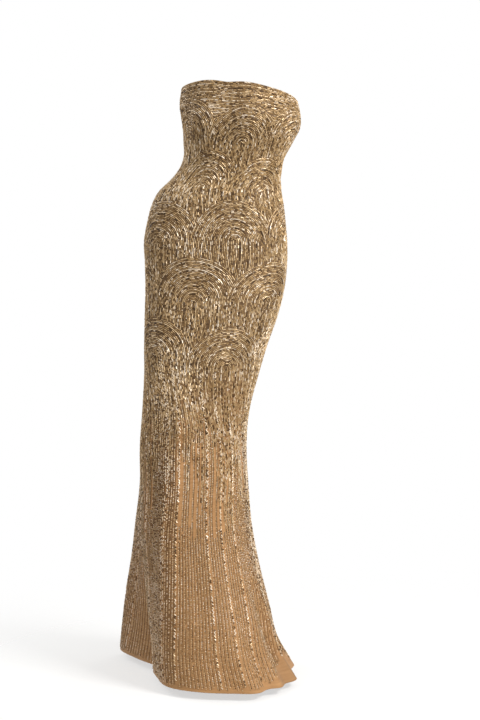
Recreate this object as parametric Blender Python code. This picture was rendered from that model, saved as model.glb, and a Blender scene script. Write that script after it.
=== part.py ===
"""Strapless floor-length column gown, hollow, in the standing pose that it is worn in.

Metres, +Z up. The gown's front faces -Y and +X is on the right of someone who looks at its front.
The origin is the middle of the hollow at the bust line. The cloth is a ring-shaped wall: each ring
is worked out from the station at its height, and below the knee the hem's crests and valleys
fade into it. Three panels share that wall, parted by gaps at the side seams and the centre back.
"""

import math

import bmesh
import bpy
import numpy as np
from mathutils import Matrix, Vector

MM = 0.001

# Driving sizes of the cloth, in metres.
FRONT_LENGTH = 1.400
BUST_HEIGHT = 1.322
WALL = 0.0020
SEAM_GAP = 0.0003
LINING_WALL = 0.0010
LINING_GAP = 0.0005
LINING_FOOT = 0.036
LINING_HEAD = 0.360

# The grid of each wall: heights of its rings, and columns round the whole gown.
RING_STEP = 0.040
FRONT_COLUMNS = 34
BACK_COLUMNS = 17
SEARCH_ANGLES = 541

# Sections of the gown over a general figure, from neckline to hem, in mm above the hem.
# centre_x and centre_y place the ring's centre beside the origin's upright. half_width, front
# and back reach from that centre. turn, in degrees, is how far the front turns towards -X.
STATIONS = np.array([
    # height, centre_x, centre_y, half_width, front, back, turn
    (1400, 0, 0, 137, 104, 100, 16),
    (1360, 1, 0, 143, 108, 102, 16),
    (1325, 3, 0, 140, 112, 100, 16),
    (1295, -1, 1, 132, 109, 97, 16),
    (1265, -7, 3, 125, 103, 93, 16),
    (1235, -13, 5, 118, 98, 90, 15),
    (1205, -20, 7, 120, 94, 88, 15),
    (1175, -32, 9, 130, 92, 89, 14),
    (1145, -47, 10, 147, 94, 93, 14),
    (1110, -53, 11, 159, 98, 99, 13),
    (1070, -56, 12, 166, 102, 106, 12),
    (1030, -58, 13, 171, 106, 113, 11),
    (980, -57, 13, 170, 110, 120, 10),
    (920, -59, 11, 166, 113, 122, 8),
    (850, -68, 5, 158, 116, 116, 6),
    (780, -81, -5, 146, 116, 106, 4),
    (700, -93, -16, 134, 114, 98, 2),
    (620, -107, -26, 128, 113, 95, 0),
    (540, -116, -32, 131, 116, 98, 0),
    (450, -118, -34, 137, 126, 108, 0),
    (350, -121, -34, 148, 143, 126, 0),
    (250, -114, -32, 158, 166, 150, 0),
    (150, -105, -30, 172, 194, 180, 0),
    (70, -96, -28, 182, 217, 202, 0),
    (0, -79, -26, 205, 238, 220, 0),
], float)
ROUNDNESS = 2.25  # exponent of the rings' superellipse: 2 is an ellipse, more is squarer
FRONT_BLEND = 0.3  # how quickly a ring's depth passes from its front to its back reach

# The hem's crests and valleys seen from above: the angle from the front towards +X, the reach
# from the ring's centre at the hem, and the height, in mm, where each starts to form.
FOLDS = np.array([
    # angle, reach, start
    (-171, 214, 420),
    (-152, 238, 380),
    (-129, 285, 520),
    (-115, 200, 620),
    (-94, 127, 700),
    (-70, 137, 700),
    (-46, 161, 640),
    (-24, 204, 520),
    (-3, 231, 460),
    (15, 250, 420),
    (27, 268, 380),
    (36, 250, 440),
    (43, 258, 400),
    (50, 243, 360),
    (59, 246, 330),
    (76, 206, 480),
    (96, 212, 500),
    (114, 196, 440),
    (134, 236, 460),
    (152, 208, 440),
    (171, 246, 420),
], float)

# The cups: two soft mounds, at this angle either side of the front, in degrees and mm.
CUP_ANGLE = 27
CUP_WIDTH = 19
CUP_RISE = 13
CUP_HEIGHT = 1318
CUP_SPREAD = 52

# The top edge, in mm: how far it lies above or below the front's middle at angles round the body.
NECKLINE = np.array([
    # angle, rise
    (0, -5),
    (22, -2),
    (60, -14),
    (100, -34),
    (140, -44),
    (180, -48),
], float)
NECKLINE_EASE = 1180  # above this height the rings follow the top edge more and more
NECKLINE_TILT = -0.070  # slope of the top edge along X, from the pose

# Concealed zip at the centre back.
ZIP_LENGTH = 0.450
ZIP_SLOT = 0.0014
TAPE_WIDTH = 0.012
TAPE_WALL = 0.0008
TAPE_GAP = 0.0003
SLIDER_DROP = 0.016  # from the back's top edge to the slider's middle
SLIDER_HALF_LENGTH = 0.0050
SLIDER_HALF_WIDTH = 0.0032
SLIDER_PLATE = 0.0014
SLIDER_NECK_HALF = 0.00040
SLIDER_CLEARANCE = 0.0004
SLIDER_INNER_DEPTH = 0.0042  # from the wall's outer face to the slider's inner plate
BAIL_HALF_WIDTH = 0.0008
BAIL_BAR = 0.0010
BAIL_WINDOW = 0.0020
TAB_THICKNESS = 0.0010
TAB_WINDOW_HALF = 0.0013
TAB_WINDOW_DROP = 0.0034
TAB_OVERLAP = 0.0002

# Half width of the pull tab at each distance below its hinge, in mm.
TAB_OUTLINE = (
    # drop, half_width
    (-0.5, 2.0),
    (0.2, 2.4),
    (3.6, 2.4),
    (6.0, 1.7),
    (10.0, 2.0),
    (15.0, 2.8),
    (18.5, 2.9),
    (20.6, 2.1),
    (21.5, 0.8),
)

# Name, base colour, roughness and metallic value of each finish.
BEADED_MESH = ("beaded_mesh", (0.52, 0.38, 0.23), 0.45, 0.25)
LINING_SATIN = ("lining_satin", (0.58, 0.43, 0.29), 0.50, 0.0)
ZIP_TAPE = ("zip_tape", (0.48, 0.35, 0.23), 0.80, 0.0)
ZIP_METAL = ("zip_metal", (0.62, 0.50, 0.32), 0.35, 0.9)


def smooth_through(knots, values, at):
    """A smooth curve through the values at the knots: cubics whose slopes are central differences."""
    slopes = np.gradient(values, knots, axis=0)
    first = np.clip(np.searchsorted(knots, at, side="right") - 1, 0, len(knots) - 2)
    span = knots[first + 1] - knots[first]
    t = np.clip((at - knots[first]) / span, 0, 1)
    if values.ndim > 1:
        span = span[..., None]
        t = t[..., None]
    start = (1 + 2 * t) * (1 - t) ** 2 * values[first] + t * (1 - t) ** 2 * span * slopes[first]
    end = t * t * (3 - 2 * t) * values[first + 1] + t * t * (t - 1) * span * slopes[first + 1]
    return start + end


def smooth_around(angles, values, at):
    """The same curve for values round a full turn, in degrees."""
    wrapped = np.concatenate([angles - 360, angles, angles + 360])
    return smooth_through(wrapped, np.concatenate([values, values, values]), at)


def body_reach(own, half_width, front, back):
    """Reach of a ring at angles of its own: a superellipse with its own front and back depths."""
    cosine = np.cos(np.radians(own))
    sine = np.sin(np.radians(own))
    front_share = 0.5 + 0.5 * np.tanh(cosine / FRONT_BLEND)
    depth = front * front_share + back * (1 - front_share)
    across = np.abs(sine / half_width) ** ROUNDNESS
    along = np.abs(cosine / depth) ** ROUNDNESS
    return (across + along) ** (-1 / ROUNDNESS)


def cup_rise(height, own):
    """How far the two cups lift the wall, in mm: a bell over angle times a bell over height."""
    level = np.exp(-(((height - CUP_HEIGHT) / CUP_SPREAD) ** 2))
    left = np.exp(-(((own + CUP_ANGLE) / CUP_WIDTH) ** 2))
    right = np.exp(-(((own - CUP_ANGLE) / CUP_WIDTH) ** 2))
    return CUP_RISE * level * (left + right)


def fold_growth(height, start):
    """0 where a fold starts, rising to 1 at the hem."""
    share = np.clip(1 - height / start, 0, 1)
    return 0.35 * share * share * (3 - 2 * share) + 0.65 * share**1.5


def surface(height, own):
    """Points of the gown's outer face, in metres.

    height is in mm above the hem, own is the angle in degrees from the ring's own front.
    """
    height = np.broadcast_to(height, own.shape)
    rising = STATIONS[::-1]
    section = smooth_through(rising[:, 0], rising[:, 1:], height)
    centre_x, centre_y, half_width, front, back, turn = np.moveaxis(section, -1, 0)
    angle = own - turn
    folds = smooth_around(FOLDS[:, 0], FOLDS[:, 1:], angle)
    hem_row = STATIONS[-1]
    plain_hem = body_reach(angle + hem_row[6], *hem_row[3:6])
    grown = (folds[..., 0] - plain_hem) * fold_growth(height, folds[..., 1])
    reach = body_reach(own, half_width, front, back) + cup_rise(height, own) + grown
    x = centre_x + reach * np.sin(np.radians(angle))
    y = centre_y - reach * np.cos(np.radians(angle))
    neckline_share = np.clip((height - NECKLINE_EASE) / (FRONT_LENGTH / MM - NECKLINE_EASE), 0, 1)
    edge_rise = smooth_through(NECKLINE[:, 0], NECKLINE[:, 1], np.abs(own)) + NECKLINE_TILT * x
    z = height + edge_rise * neckline_share - BUST_HEIGHT / MM
    return np.stack([x, y, z], axis=-1) * MM


def outward(height, own):
    """Unit directions out of the wall, from the surface's slopes round it and up it."""
    around = surface(height, own + 0.2) - surface(height, own - 0.2)
    up = surface(height + 1.0, own) - surface(height - 1.0, own)
    normal = np.cross(around, up)
    return normal / np.linalg.norm(normal, axis=-1, keepdims=True)


def ring_heights():
    """Heights of the rings in mm above the hem, from the hem to the neckline."""
    count = round(FRONT_LENGTH / RING_STEP) + 1
    return np.linspace(0, FRONT_LENGTH / MM, count)


def column_angles(heights, first, last, columns, first_trim, last_trim):
    """Angles that part each ring's stretch from first to last into columns of equal width.

    first_trim and last_trim, in metres, are taken off the two ends of every ring's stretch.
    """
    search = np.linspace(first, last, SEARCH_ANGLES)
    rows = []
    for height, start, end in zip(heights, first_trim, last_trim):
        points = surface(height, search)
        steps = np.linalg.norm(np.diff(points, axis=0), axis=1)
        travelled = np.concatenate([[0], np.cumsum(steps)])
        wanted = np.linspace(start, travelled[-1] - end, columns + 1)
        rows.append(np.interp(wanted, travelled, search))
    return np.array(rows)


class Wall:
    """A grid of points on the gown's outer face with the direction out of the wall at each.

    On a back panel, edge and beside are its column at the centre back and the one next to it.
    """

    def __init__(self, heights, angles, edge=-1, beside=-2):
        column = heights[:, None]
        self.heights = heights
        self.points = surface(column, angles)
        self.normals = outward(column, angles)
        self.edge = edge
        self.beside = beside

    def at_depth(self, depth):
        """The grid moved into the wall by the depth."""
        return self.points - self.normals * depth


def front_wall():
    """The front panel's grid, from the seam at -X to the seam at +X."""
    heights = ring_heights()
    trim = np.full(len(heights), SEAM_GAP / 2)
    return Wall(heights, column_angles(heights, -90, 90, FRONT_COLUMNS, trim, trim))


def back_wall(side):
    """A back panel's grid, on the side of the centre back that has this sign of X, -1 or 1."""
    heights = ring_heights()
    zip_foot = FRONT_LENGTH / MM + NECKLINE[-1, 1] - ZIP_LENGTH / MM
    centre_trim = np.where(heights > zip_foot, ZIP_SLOT / 2, SEAM_GAP / 2)
    side_trim = np.full(len(heights), SEAM_GAP / 2)
    if side > 0:
        angles = column_angles(heights, 90, 180, BACK_COLUMNS, side_trim, centre_trim)
        return Wall(heights, angles)
    angles = column_angles(heights, -180, -90, BACK_COLUMNS, centre_trim, side_trim)
    return Wall(heights, angles, edge=0, beside=1)


def material(finish):
    """A Principled material of a finish's name, colour, roughness and metallic value."""
    name, colour, roughness, metallic = finish
    made = bpy.data.materials.new(name)
    made.use_nodes = True
    shader = made.node_tree.nodes["Principled BSDF"]
    shader.inputs["Base Color"].default_value = (*colour, 1)
    shader.inputs["Roughness"].default_value = roughness
    shader.inputs["Metallic"].default_value = metallic
    made.diffuse_color = (*colour, 1)
    return made


def add_object(name, mesh, finish):
    """Puts a mesh into the scene as one object with its own material."""
    mesh.materials.append(material(finish))
    made = bpy.data.objects.new(name, mesh)
    bpy.context.scene.collection.objects.link(made)
    return made


def add_shell(name, outer, inner, finish):
    """A closed wall between two grids of points of the same shape, one outside the other."""
    rows, columns = outer.shape[:2]
    index = np.arange(rows * columns).reshape(rows, columns)
    low_first = index[:-1, :-1].ravel()
    low_last = index[:-1, 1:].ravel()
    high_first = index[1:, :-1].ravel()
    high_last = index[1:, 1:].ravel()
    face_a = np.stack([low_first, low_last, high_last], axis=1)
    face_b = np.stack([low_first, high_last, high_first], axis=1)
    outside = np.concatenate([face_a, face_b])
    inside = outside[:, ::-1] + rows * columns
    rim = np.concatenate([index[0], index[1:, -1], index[-1, -2::-1], index[-2:0:-1, 0]])
    after = np.roll(rim, -1)
    under = rim + rows * columns
    under_after = after + rows * columns
    edge_a = np.stack([rim, under, under_after], axis=1)
    edge_b = np.stack([rim, under_after, after], axis=1)
    faces = np.concatenate([outside, inside, edge_a, edge_b])
    points = np.concatenate([outer.reshape(-1, 3), inner.reshape(-1, 3)])
    mesh = bpy.data.meshes.new(name)
    mesh.from_pydata(points.tolist(), [], faces.tolist())
    made = add_object(name, mesh, finish)
    face_outwards(mesh)
    mesh.shade_smooth()
    mesh.set_sharp_from_angle(angle=math.radians(60))
    return made


def face_outwards(mesh):
    """Turns a closed mesh right side out."""
    work = bmesh.new()
    work.from_mesh(mesh)
    if work.calc_volume(signed=True) < 0:
        bmesh.ops.reverse_faces(work, faces=work.faces)
    work.to_mesh(mesh)
    work.free()


def add_panel(name, wall):
    """A cloth panel over a wall's grid."""
    return add_shell(name, wall.points, wall.at_depth(WALL), BEADED_MESH)


def lining_rows(wall):
    """The rows of a wall that the lower band of lining covers."""
    chosen = (wall.heights >= LINING_FOOT / MM) & (wall.heights <= LINING_HEAD / MM)
    return np.flatnonzero(chosen)


def add_lining(name, outer, inner, rows):
    """A band of lining just inside the panels, over the chosen rows of its two grids."""
    return add_shell(name, outer[rows], inner[rows], LINING_SATIN)


def add_front_lining(wall):
    """The front's band of lining."""
    start = WALL + LINING_GAP
    outer = wall.at_depth(start)
    inner = wall.at_depth(start + LINING_WALL)
    return add_lining("lining_front", outer, inner, lining_rows(wall))


def add_back_lining(left, right):
    """The back's band of lining, one piece across both back panels."""
    start = WALL + LINING_GAP
    depths = (start, start + LINING_WALL)
    grids = []
    for depth in depths:
        right_grid = right.at_depth(depth)
        left_grid = left.at_depth(depth)
        centre = (right_grid[:, -1:] + left_grid[:, :1]) / 2
        grids.append(np.concatenate([right_grid[:, :-1], centre, left_grid[:, 1:]], axis=1))
    return add_lining("lining_back", grids[0], grids[1], lining_rows(left))


def zip_rows(wall):
    """The rows of a back wall that the zip tape covers, from its foot to just under the top edge."""
    zip_foot = FRONT_LENGTH / MM + NECKLINE[-1, 1] - ZIP_LENGTH / MM
    return np.flatnonzero(wall.heights > zip_foot)


def add_zip_tape(name, wall):
    """One tape of the zip, laid on the inner face of its back panel beside the centre back."""
    rows = zip_rows(wall)
    inner = wall.at_depth(WALL)[rows]
    edge = inner[:, wall.edge]
    beside = inner[:, wall.beside]
    column_width = np.linalg.norm(beside - edge, axis=1)[:, None]
    share = TAPE_WIDTH / column_width
    border = edge + (beside - edge) * share
    edge_normal = wall.normals[rows, wall.edge]
    border_normal = edge_normal + (wall.normals[rows, wall.beside] - edge_normal) * share
    points = np.stack([edge, border], axis=1)
    normals = np.stack([edge_normal, border_normal], axis=1)
    outer = points - normals * TAPE_GAP
    return add_shell(name, outer, outer - normals * TAPE_WALL, ZIP_TAPE)


def slider_frame(left, right):
    """Where the slider sits: a matrix whose axes run across the zip, out of the cloth and up it."""
    middle = (left.points[:, left.edge] + right.points[:, right.edge]) / 2
    normal = left.normals[-1, left.edge] + right.normals[-1, right.edge]
    along = Vector(middle[-1] - middle[-2])
    share = 1 - SLIDER_DROP / along.length
    centre = Vector(middle[-2]).lerp(Vector(middle[-1]), share)
    up = along.normalized()
    across = Vector(normal).cross(up).normalized()
    out = up.cross(across)
    turned = Matrix((across, out, up)).transposed().to_4x4()
    return Matrix.Translation(centre) @ turned


def prism(name, profile, low, high, frame, finish, axis):
    """A closed prism: a profile in one plane of a frame, carried along the frame's other axis.

    axis is the frame's axis that it runs along: 0 across, 1 out of the cloth or 2 up it.
    """
    points = []
    for level in (low, high):
        for first, second in profile:
            corner = [first, second]
            corner.insert(axis, level)
            points.append(corner)
    count = len(profile)
    faces = [tuple(range(count)), tuple(range(2 * count - 1, count - 1, -1))]
    for near in range(count):
        far = (near + 1) % count
        faces.append((near, near + count, far + count, far))
    mesh = bpy.data.meshes.new(name)
    mesh.from_pydata(points, [], faces)
    face_outwards(mesh)
    made = add_object(name, mesh, finish)
    made.matrix_world = frame
    return made


def add_boolean(target, other, operation):
    """Joins another object to the target or cuts it away, and keeps that object as a guide."""
    modifier = target.modifiers.new(operation.lower(), "BOOLEAN")
    modifier.operation = operation
    modifier.object = other
    other.hide_render = True
    other.display_type = "WIRE"


def add_slider(frame):
    """The zip's slider: a plate each side of the cloth, a neck through the slot, and a bail."""
    width = SLIDER_HALF_WIDTH
    neck = SLIDER_NECK_HALF
    outer = SLIDER_CLEARANCE
    inner = -SLIDER_INNER_DEPTH
    profile = (
        (-width, outer + SLIDER_PLATE),
        (-width, outer),
        (-neck, outer),
        (-neck, inner),
        (-width, inner),
        (-width, inner - SLIDER_PLATE),
        (width, inner - SLIDER_PLATE),
        (width, inner),
        (neck, inner),
        (neck, outer),
        (width, outer),
        (width, outer + SLIDER_PLATE),
    )
    half = SLIDER_HALF_LENGTH
    slider = prism("zip_slider", profile, -half, half, frame, ZIP_METAL, 2)
    face = outer + SLIDER_PLATE
    window = BAIL_WINDOW / 2
    reach = window + BAIL_BAR
    bail_profile = (
        (face - TAB_OVERLAP, -reach),
        (face + BAIL_WINDOW + BAIL_BAR, -reach),
        (face + BAIL_WINDOW + BAIL_BAR, reach),
        (face - TAB_OVERLAP, reach),
        (face - TAB_OVERLAP, window),
        (face + BAIL_WINDOW, window),
        (face + BAIL_WINDOW, -window),
        (face - TAB_OVERLAP, -window),
    )
    bail = prism("bail", bail_profile, -BAIL_HALF_WIDTH, BAIL_HALF_WIDTH, frame, ZIP_METAL, 0)
    add_boolean(slider, bail, "UNION")
    return slider


def hinge_frame(frame):
    """The pull tab's hinge: its axis runs across the zip, and its third axis is as upright as it can be."""
    distance = SLIDER_CLEARANCE + SLIDER_PLATE + BAIL_WINDOW / 2
    centre = frame @ Vector((0, distance, 0))
    across = frame.to_3x3().col[0].normalized()
    upright = Vector((0, 0, 1))
    up = (upright - across * upright.dot(across)).normalized()
    out = up.cross(across)
    turned = Matrix((across, out, up)).transposed().to_4x4()
    return Matrix.Translation(centre) @ turned


def add_pull_tab(hinge):
    """The pull tab, hanging from the bail by the bar above its window."""
    right_side = [(half * MM, -drop * MM) for drop, half in TAB_OUTLINE]
    left_side = [(-across, up) for across, up in reversed(right_side)]
    half = TAB_THICKNESS / 2
    profile = right_side + left_side
    tab = prism("zip_pull_tab", profile, -half, half, hinge, ZIP_METAL, 1)
    window = (
        (-TAB_WINDOW_HALF, -half),
        (TAB_WINDOW_HALF, -half),
        (TAB_WINDOW_HALF, -TAB_WINDOW_DROP),
        (-TAB_WINDOW_HALF, -TAB_WINDOW_DROP),
    )
    cutter = prism("tab_window", window, -2 * half, 2 * half, hinge, ZIP_METAL, 1)
    add_boolean(tab, cutter, "DIFFERENCE")
    return tab


def clear_scene():
    """Removes every object of the scene."""
    for old in list(bpy.data.objects):
        bpy.data.objects.remove(old, do_unlink=True)


def main():
    """Builds the gown."""
    clear_scene()
    front = front_wall()
    left = back_wall(-1)
    right = back_wall(1)
    add_panel("front_panel", front)
    add_panel("back_left_panel", left)
    add_panel("back_right_panel", right)
    add_front_lining(front)
    add_back_lining(left, right)
    add_zip_tape("zip_tape_left", left)
    add_zip_tape("zip_tape_right", right)
    frame = slider_frame(left, right)
    add_slider(frame)
    add_pull_tab(hinge_frame(frame))


main()
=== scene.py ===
"""Looks of a strapless floor-length beaded column gown, hollow, in the pose that it is worn in.

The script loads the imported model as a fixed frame, then makes the cloth, its lining, the rows of
beads, the concealed zip, a pale studio and the camera. Lengths are in metres unless a name or a
table says mm. The gown's front faces -Y. A point of the cloth is named by two measures in mm: line,
how far round the gown it lies from the front's middle on a gown made one even girth all the way
down, and height above the hem.
"""

import logging
import math
from dataclasses import dataclass, field
from enum import Enum
from itertools import product
from typing import ClassVar

import bpy
import numpy as np
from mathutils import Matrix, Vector


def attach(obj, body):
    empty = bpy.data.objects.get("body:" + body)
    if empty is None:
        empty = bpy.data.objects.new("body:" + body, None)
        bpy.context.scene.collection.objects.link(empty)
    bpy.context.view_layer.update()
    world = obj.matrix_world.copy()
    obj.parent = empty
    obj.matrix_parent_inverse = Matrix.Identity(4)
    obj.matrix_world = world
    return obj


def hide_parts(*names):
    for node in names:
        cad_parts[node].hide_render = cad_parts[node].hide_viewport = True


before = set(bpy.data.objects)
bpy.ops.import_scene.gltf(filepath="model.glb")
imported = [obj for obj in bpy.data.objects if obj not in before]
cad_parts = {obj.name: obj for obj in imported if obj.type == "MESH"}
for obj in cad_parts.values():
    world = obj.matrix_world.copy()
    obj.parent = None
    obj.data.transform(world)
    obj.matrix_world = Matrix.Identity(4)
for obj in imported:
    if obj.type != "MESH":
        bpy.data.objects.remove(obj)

log = logging.getLogger("gown")

MM = 0.001
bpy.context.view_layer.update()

Array = np.ndarray
Colour = tuple[float, float, float]
Socket = bpy.types.NodeSocket
Piece = bpy.types.Object
# How large a finish's uneven patches are: cells of noise a metre across and up, and contrast.
Patches = tuple[float, float, float]

# Sections of the gown from neckline to hem, in mm and degrees, as the solids have them.
STATIONS = np.array([
    # height, centre_x, centre_y, half_width, front, back, turn
    (1400, 0, 0, 137, 104, 100, 16),
    (1360, 1, 0, 143, 108, 102, 16),
    (1325, 3, 0, 140, 112, 100, 16),
    (1295, -1, 1, 132, 109, 97, 16),
    (1265, -7, 3, 125, 103, 93, 16),
    (1235, -13, 5, 118, 98, 90, 15),
    (1205, -20, 7, 120, 94, 88, 15),
    (1175, -32, 9, 130, 92, 89, 14),
    (1145, -47, 10, 147, 94, 93, 14),
    (1110, -53, 11, 159, 98, 99, 13),
    (1070, -56, 12, 166, 102, 106, 12),
    (1030, -58, 13, 171, 106, 113, 11),
    (980, -57, 13, 170, 110, 120, 10),
    (920, -59, 11, 166, 113, 122, 8),
    (850, -68, 5, 158, 116, 116, 6),
    (780, -81, -5, 146, 116, 106, 4),
    (700, -93, -16, 134, 114, 98, 2),
    (620, -107, -26, 128, 113, 95, 0),
    (540, -116, -32, 131, 116, 98, 0),
    (450, -118, -34, 137, 126, 108, 0),
    (350, -121, -34, 148, 143, 126, 0),
    (250, -114, -32, 158, 166, 150, 0),
    (150, -105, -30, 172, 194, 180, 0),
    (70, -96, -28, 182, 217, 202, 0),
    (0, -79, -26, 205, 238, 220, 0),
], float)

# The hem's crests and valleys seen from above, and the height in mm where each starts.
FOLDS = np.array([
    # angle, reach, start
    (-171, 214, 420),
    (-152, 238, 380),
    (-129, 285, 520),
    (-115, 200, 620),
    (-94, 127, 700),
    (-70, 137, 700),
    (-46, 161, 640),
    (-24, 204, 520),
    (-3, 231, 460),
    (15, 250, 420),
    (27, 268, 380),
    (36, 250, 440),
    (43, 258, 400),
    (50, 243, 360),
    (59, 246, 330),
    (76, 206, 480),
    (96, 212, 500),
    (114, 196, 440),
    (134, 236, 460),
    (152, 208, 440),
    (171, 246, 420),
], float)

# The top edge, in mm above or below the front's middle, at angles round the body.
NECKLINE = np.array([
    # angle, rise
    (0, -5),
    (22, -2),
    (60, -14),
    (100, -34),
    (140, -44),
    (180, -48),
], float)

# Soft creases that the cloth adds to its solid's form. line and height are a crease's middle in
# mm, lean turns it from upright towards +line in degrees, and lift is how far it stands out or,
# below zero, sinks in.
CREASES = np.array([
    # line, height, lean, half_length, half_width, lift
    (-40, 1170, 82, 46, 5, -1.1),
    (22, 1158, 97, 38, 5, -1.0),
    (-6, 1142, 86, 52, 6, -0.9),
    (70, 1182, 100, 34, 5, -1.0),
    (-118, 1128, 76, 40, 6, -1.1),
    (-150, 1098, 70, 44, 7, -1.3),
    (150, 1160, 104, 40, 6, -1.2),
    (250, 1172, 92, 60, 7, -1.4),
    (-300, 1180, 88, 64, 7, -1.5),
    (330, 1150, 84, 52, 6, -1.2),
    (26, 748, 21, 160, 30, 5.5),
    (-46, 822, 16, 110, 24, -3.6),
    (92, 742, 26, 95, 18, -2.4),
    (-30, 588, 0, 46, 30, 4.5),
    (18, 530, -40, 74, 10, 2.8),
    (1, 513, -40, 62, 10, -2.4),
    (-54, 300, 5, 330, 30, 8.0),
    (-114, 300, 7, 300, 27, -5.0),
    (64, 560, -9, 95, 8, -1.2),
    (96, 520, -12, 110, 9, -1.9),
    (128, 470, -10, 120, 10, 1.6),
    (-150, 560, 4, 130, 12, -2.0),
    (-8, 210, 2, 150, 12, -1.8),
    (22, 180, -2, 130, 9, 1.4),
    (58, 170, -3, 150, 8, -1.7),
    (119, 120, -2, 88, 8, -7.0),
    (139, 130, 1, 100, 9, 4.2),
    (-185, 240, 3, 150, 9, 1.7),
    (-250, 260, 2, 170, 11, -2.2),
    (-290, 230, 1, 150, 10, 1.8),
    (-345, 250, -1, 160, 11, -2.0),
    (235, 240, 1, 150, 9, -1.9),
    (275, 280, 0, 170, 11, 2.1),
    (320, 220, -2, 140, 9, -1.8),
    (372, 260, 2, 160, 10, 1.9),
    (-300, 700, -24, 110, 14, -1.8),
    (300, 760, 26, 120, 15, -1.8),
], float)


def ease(share: Array) -> Array:
    """Gives the smoothstep of a share t from 0 to 1: t t (3 - 2 t)."""
    return share * share * (3 - 2 * share)


def bell(offset: Array) -> Array:
    """Gives a bell that is one at no offset: e to the power of minus the offset squared."""
    return np.exp(-(offset**2))


def smooth_through(knots: Array, values: Array, at: Array) -> Array:
    """Runs a smooth curve through the values at the knots.

    Between two knots it is the cubic whose slopes at them are central differences.

    Args:
        knots: Where the values are known, rising.
        values: One value, or one row of values, for each knot.
        at: Where the curve is wanted.

    Returns:
        The curve's value, or row of values, at each of those places.
    """
    slopes = np.gradient(values, knots, axis=0)
    first = np.clip(np.searchsorted(knots, at, side="right") - 1, 0, len(knots) - 2)
    span = knots[first + 1] - knots[first]
    t = np.clip((at - knots[first]) / span, 0, 1)
    if values.ndim > 1:
        span = span[..., None]
        t = t[..., None]
    start = ease(1 - t) * values[first] + t * (1 - t) ** 2 * span * slopes[first]
    end = ease(t) * values[first + 1] + t * t * (t - 1) * span * slopes[first + 1]
    return start + end


def smooth_around(angles: Array, values: Array, at: Array) -> Array:
    """Runs the same smooth curve through values round a full turn.

    Args:
        angles: The angles in degrees where the values are known, rising.
        values: One row of values for each angle.
        at: The angles where the curve is wanted.

    Returns:
        A row of values for each angle in at.
    """
    wrapped = np.concatenate([angles - 360, angles, angles + 360])
    return smooth_through(wrapped, np.concatenate([values, values, values]), at)


def unit(vectors: Array) -> Array:
    """Gives vectors a length of one, along the last axis."""
    return vectors / np.maximum(np.linalg.norm(vectors, axis=-1, keepdims=True), 1e-12)


def turned(first: Array, second: Array, angle: Array | float) -> tuple[Array, Array]:
    """Turns two directions that are square to each other by an angle in their own plane."""
    cosine, sine = np.cos(angle), np.sin(angle)
    return first * cosine + second * sine, second * cosine - first * sine


def soft_noise(x: Array, y: Array, cell: float, seed: int) -> Array:
    """Makes smooth random values between 0 and 1 over a plane.

    Random values on a square lattice are blended with the smoothstep as weight.

    Args:
        x: First coordinates.
        y: Second coordinates, of the same shape.
        cell: Width of a lattice square, in the same unit.
        seed: Seed of the lattice's values.

    Returns:
        A value for each point.
    """
    side = 256
    table = np.random.default_rng(seed).random((side, side))
    column = np.floor(x / cell).astype(int)
    row = np.floor(y / cell).astype(int)
    across = ease(x / cell - column)
    up = ease(y / cell - row)
    left, right = column % side, (column + 1) % side
    low, high = (
        table[level % side, left] * (1 - across) + table[level % side, right] * across
        for level in (row, row + 1)
    )
    return low * (1 - up) + high * up


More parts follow.
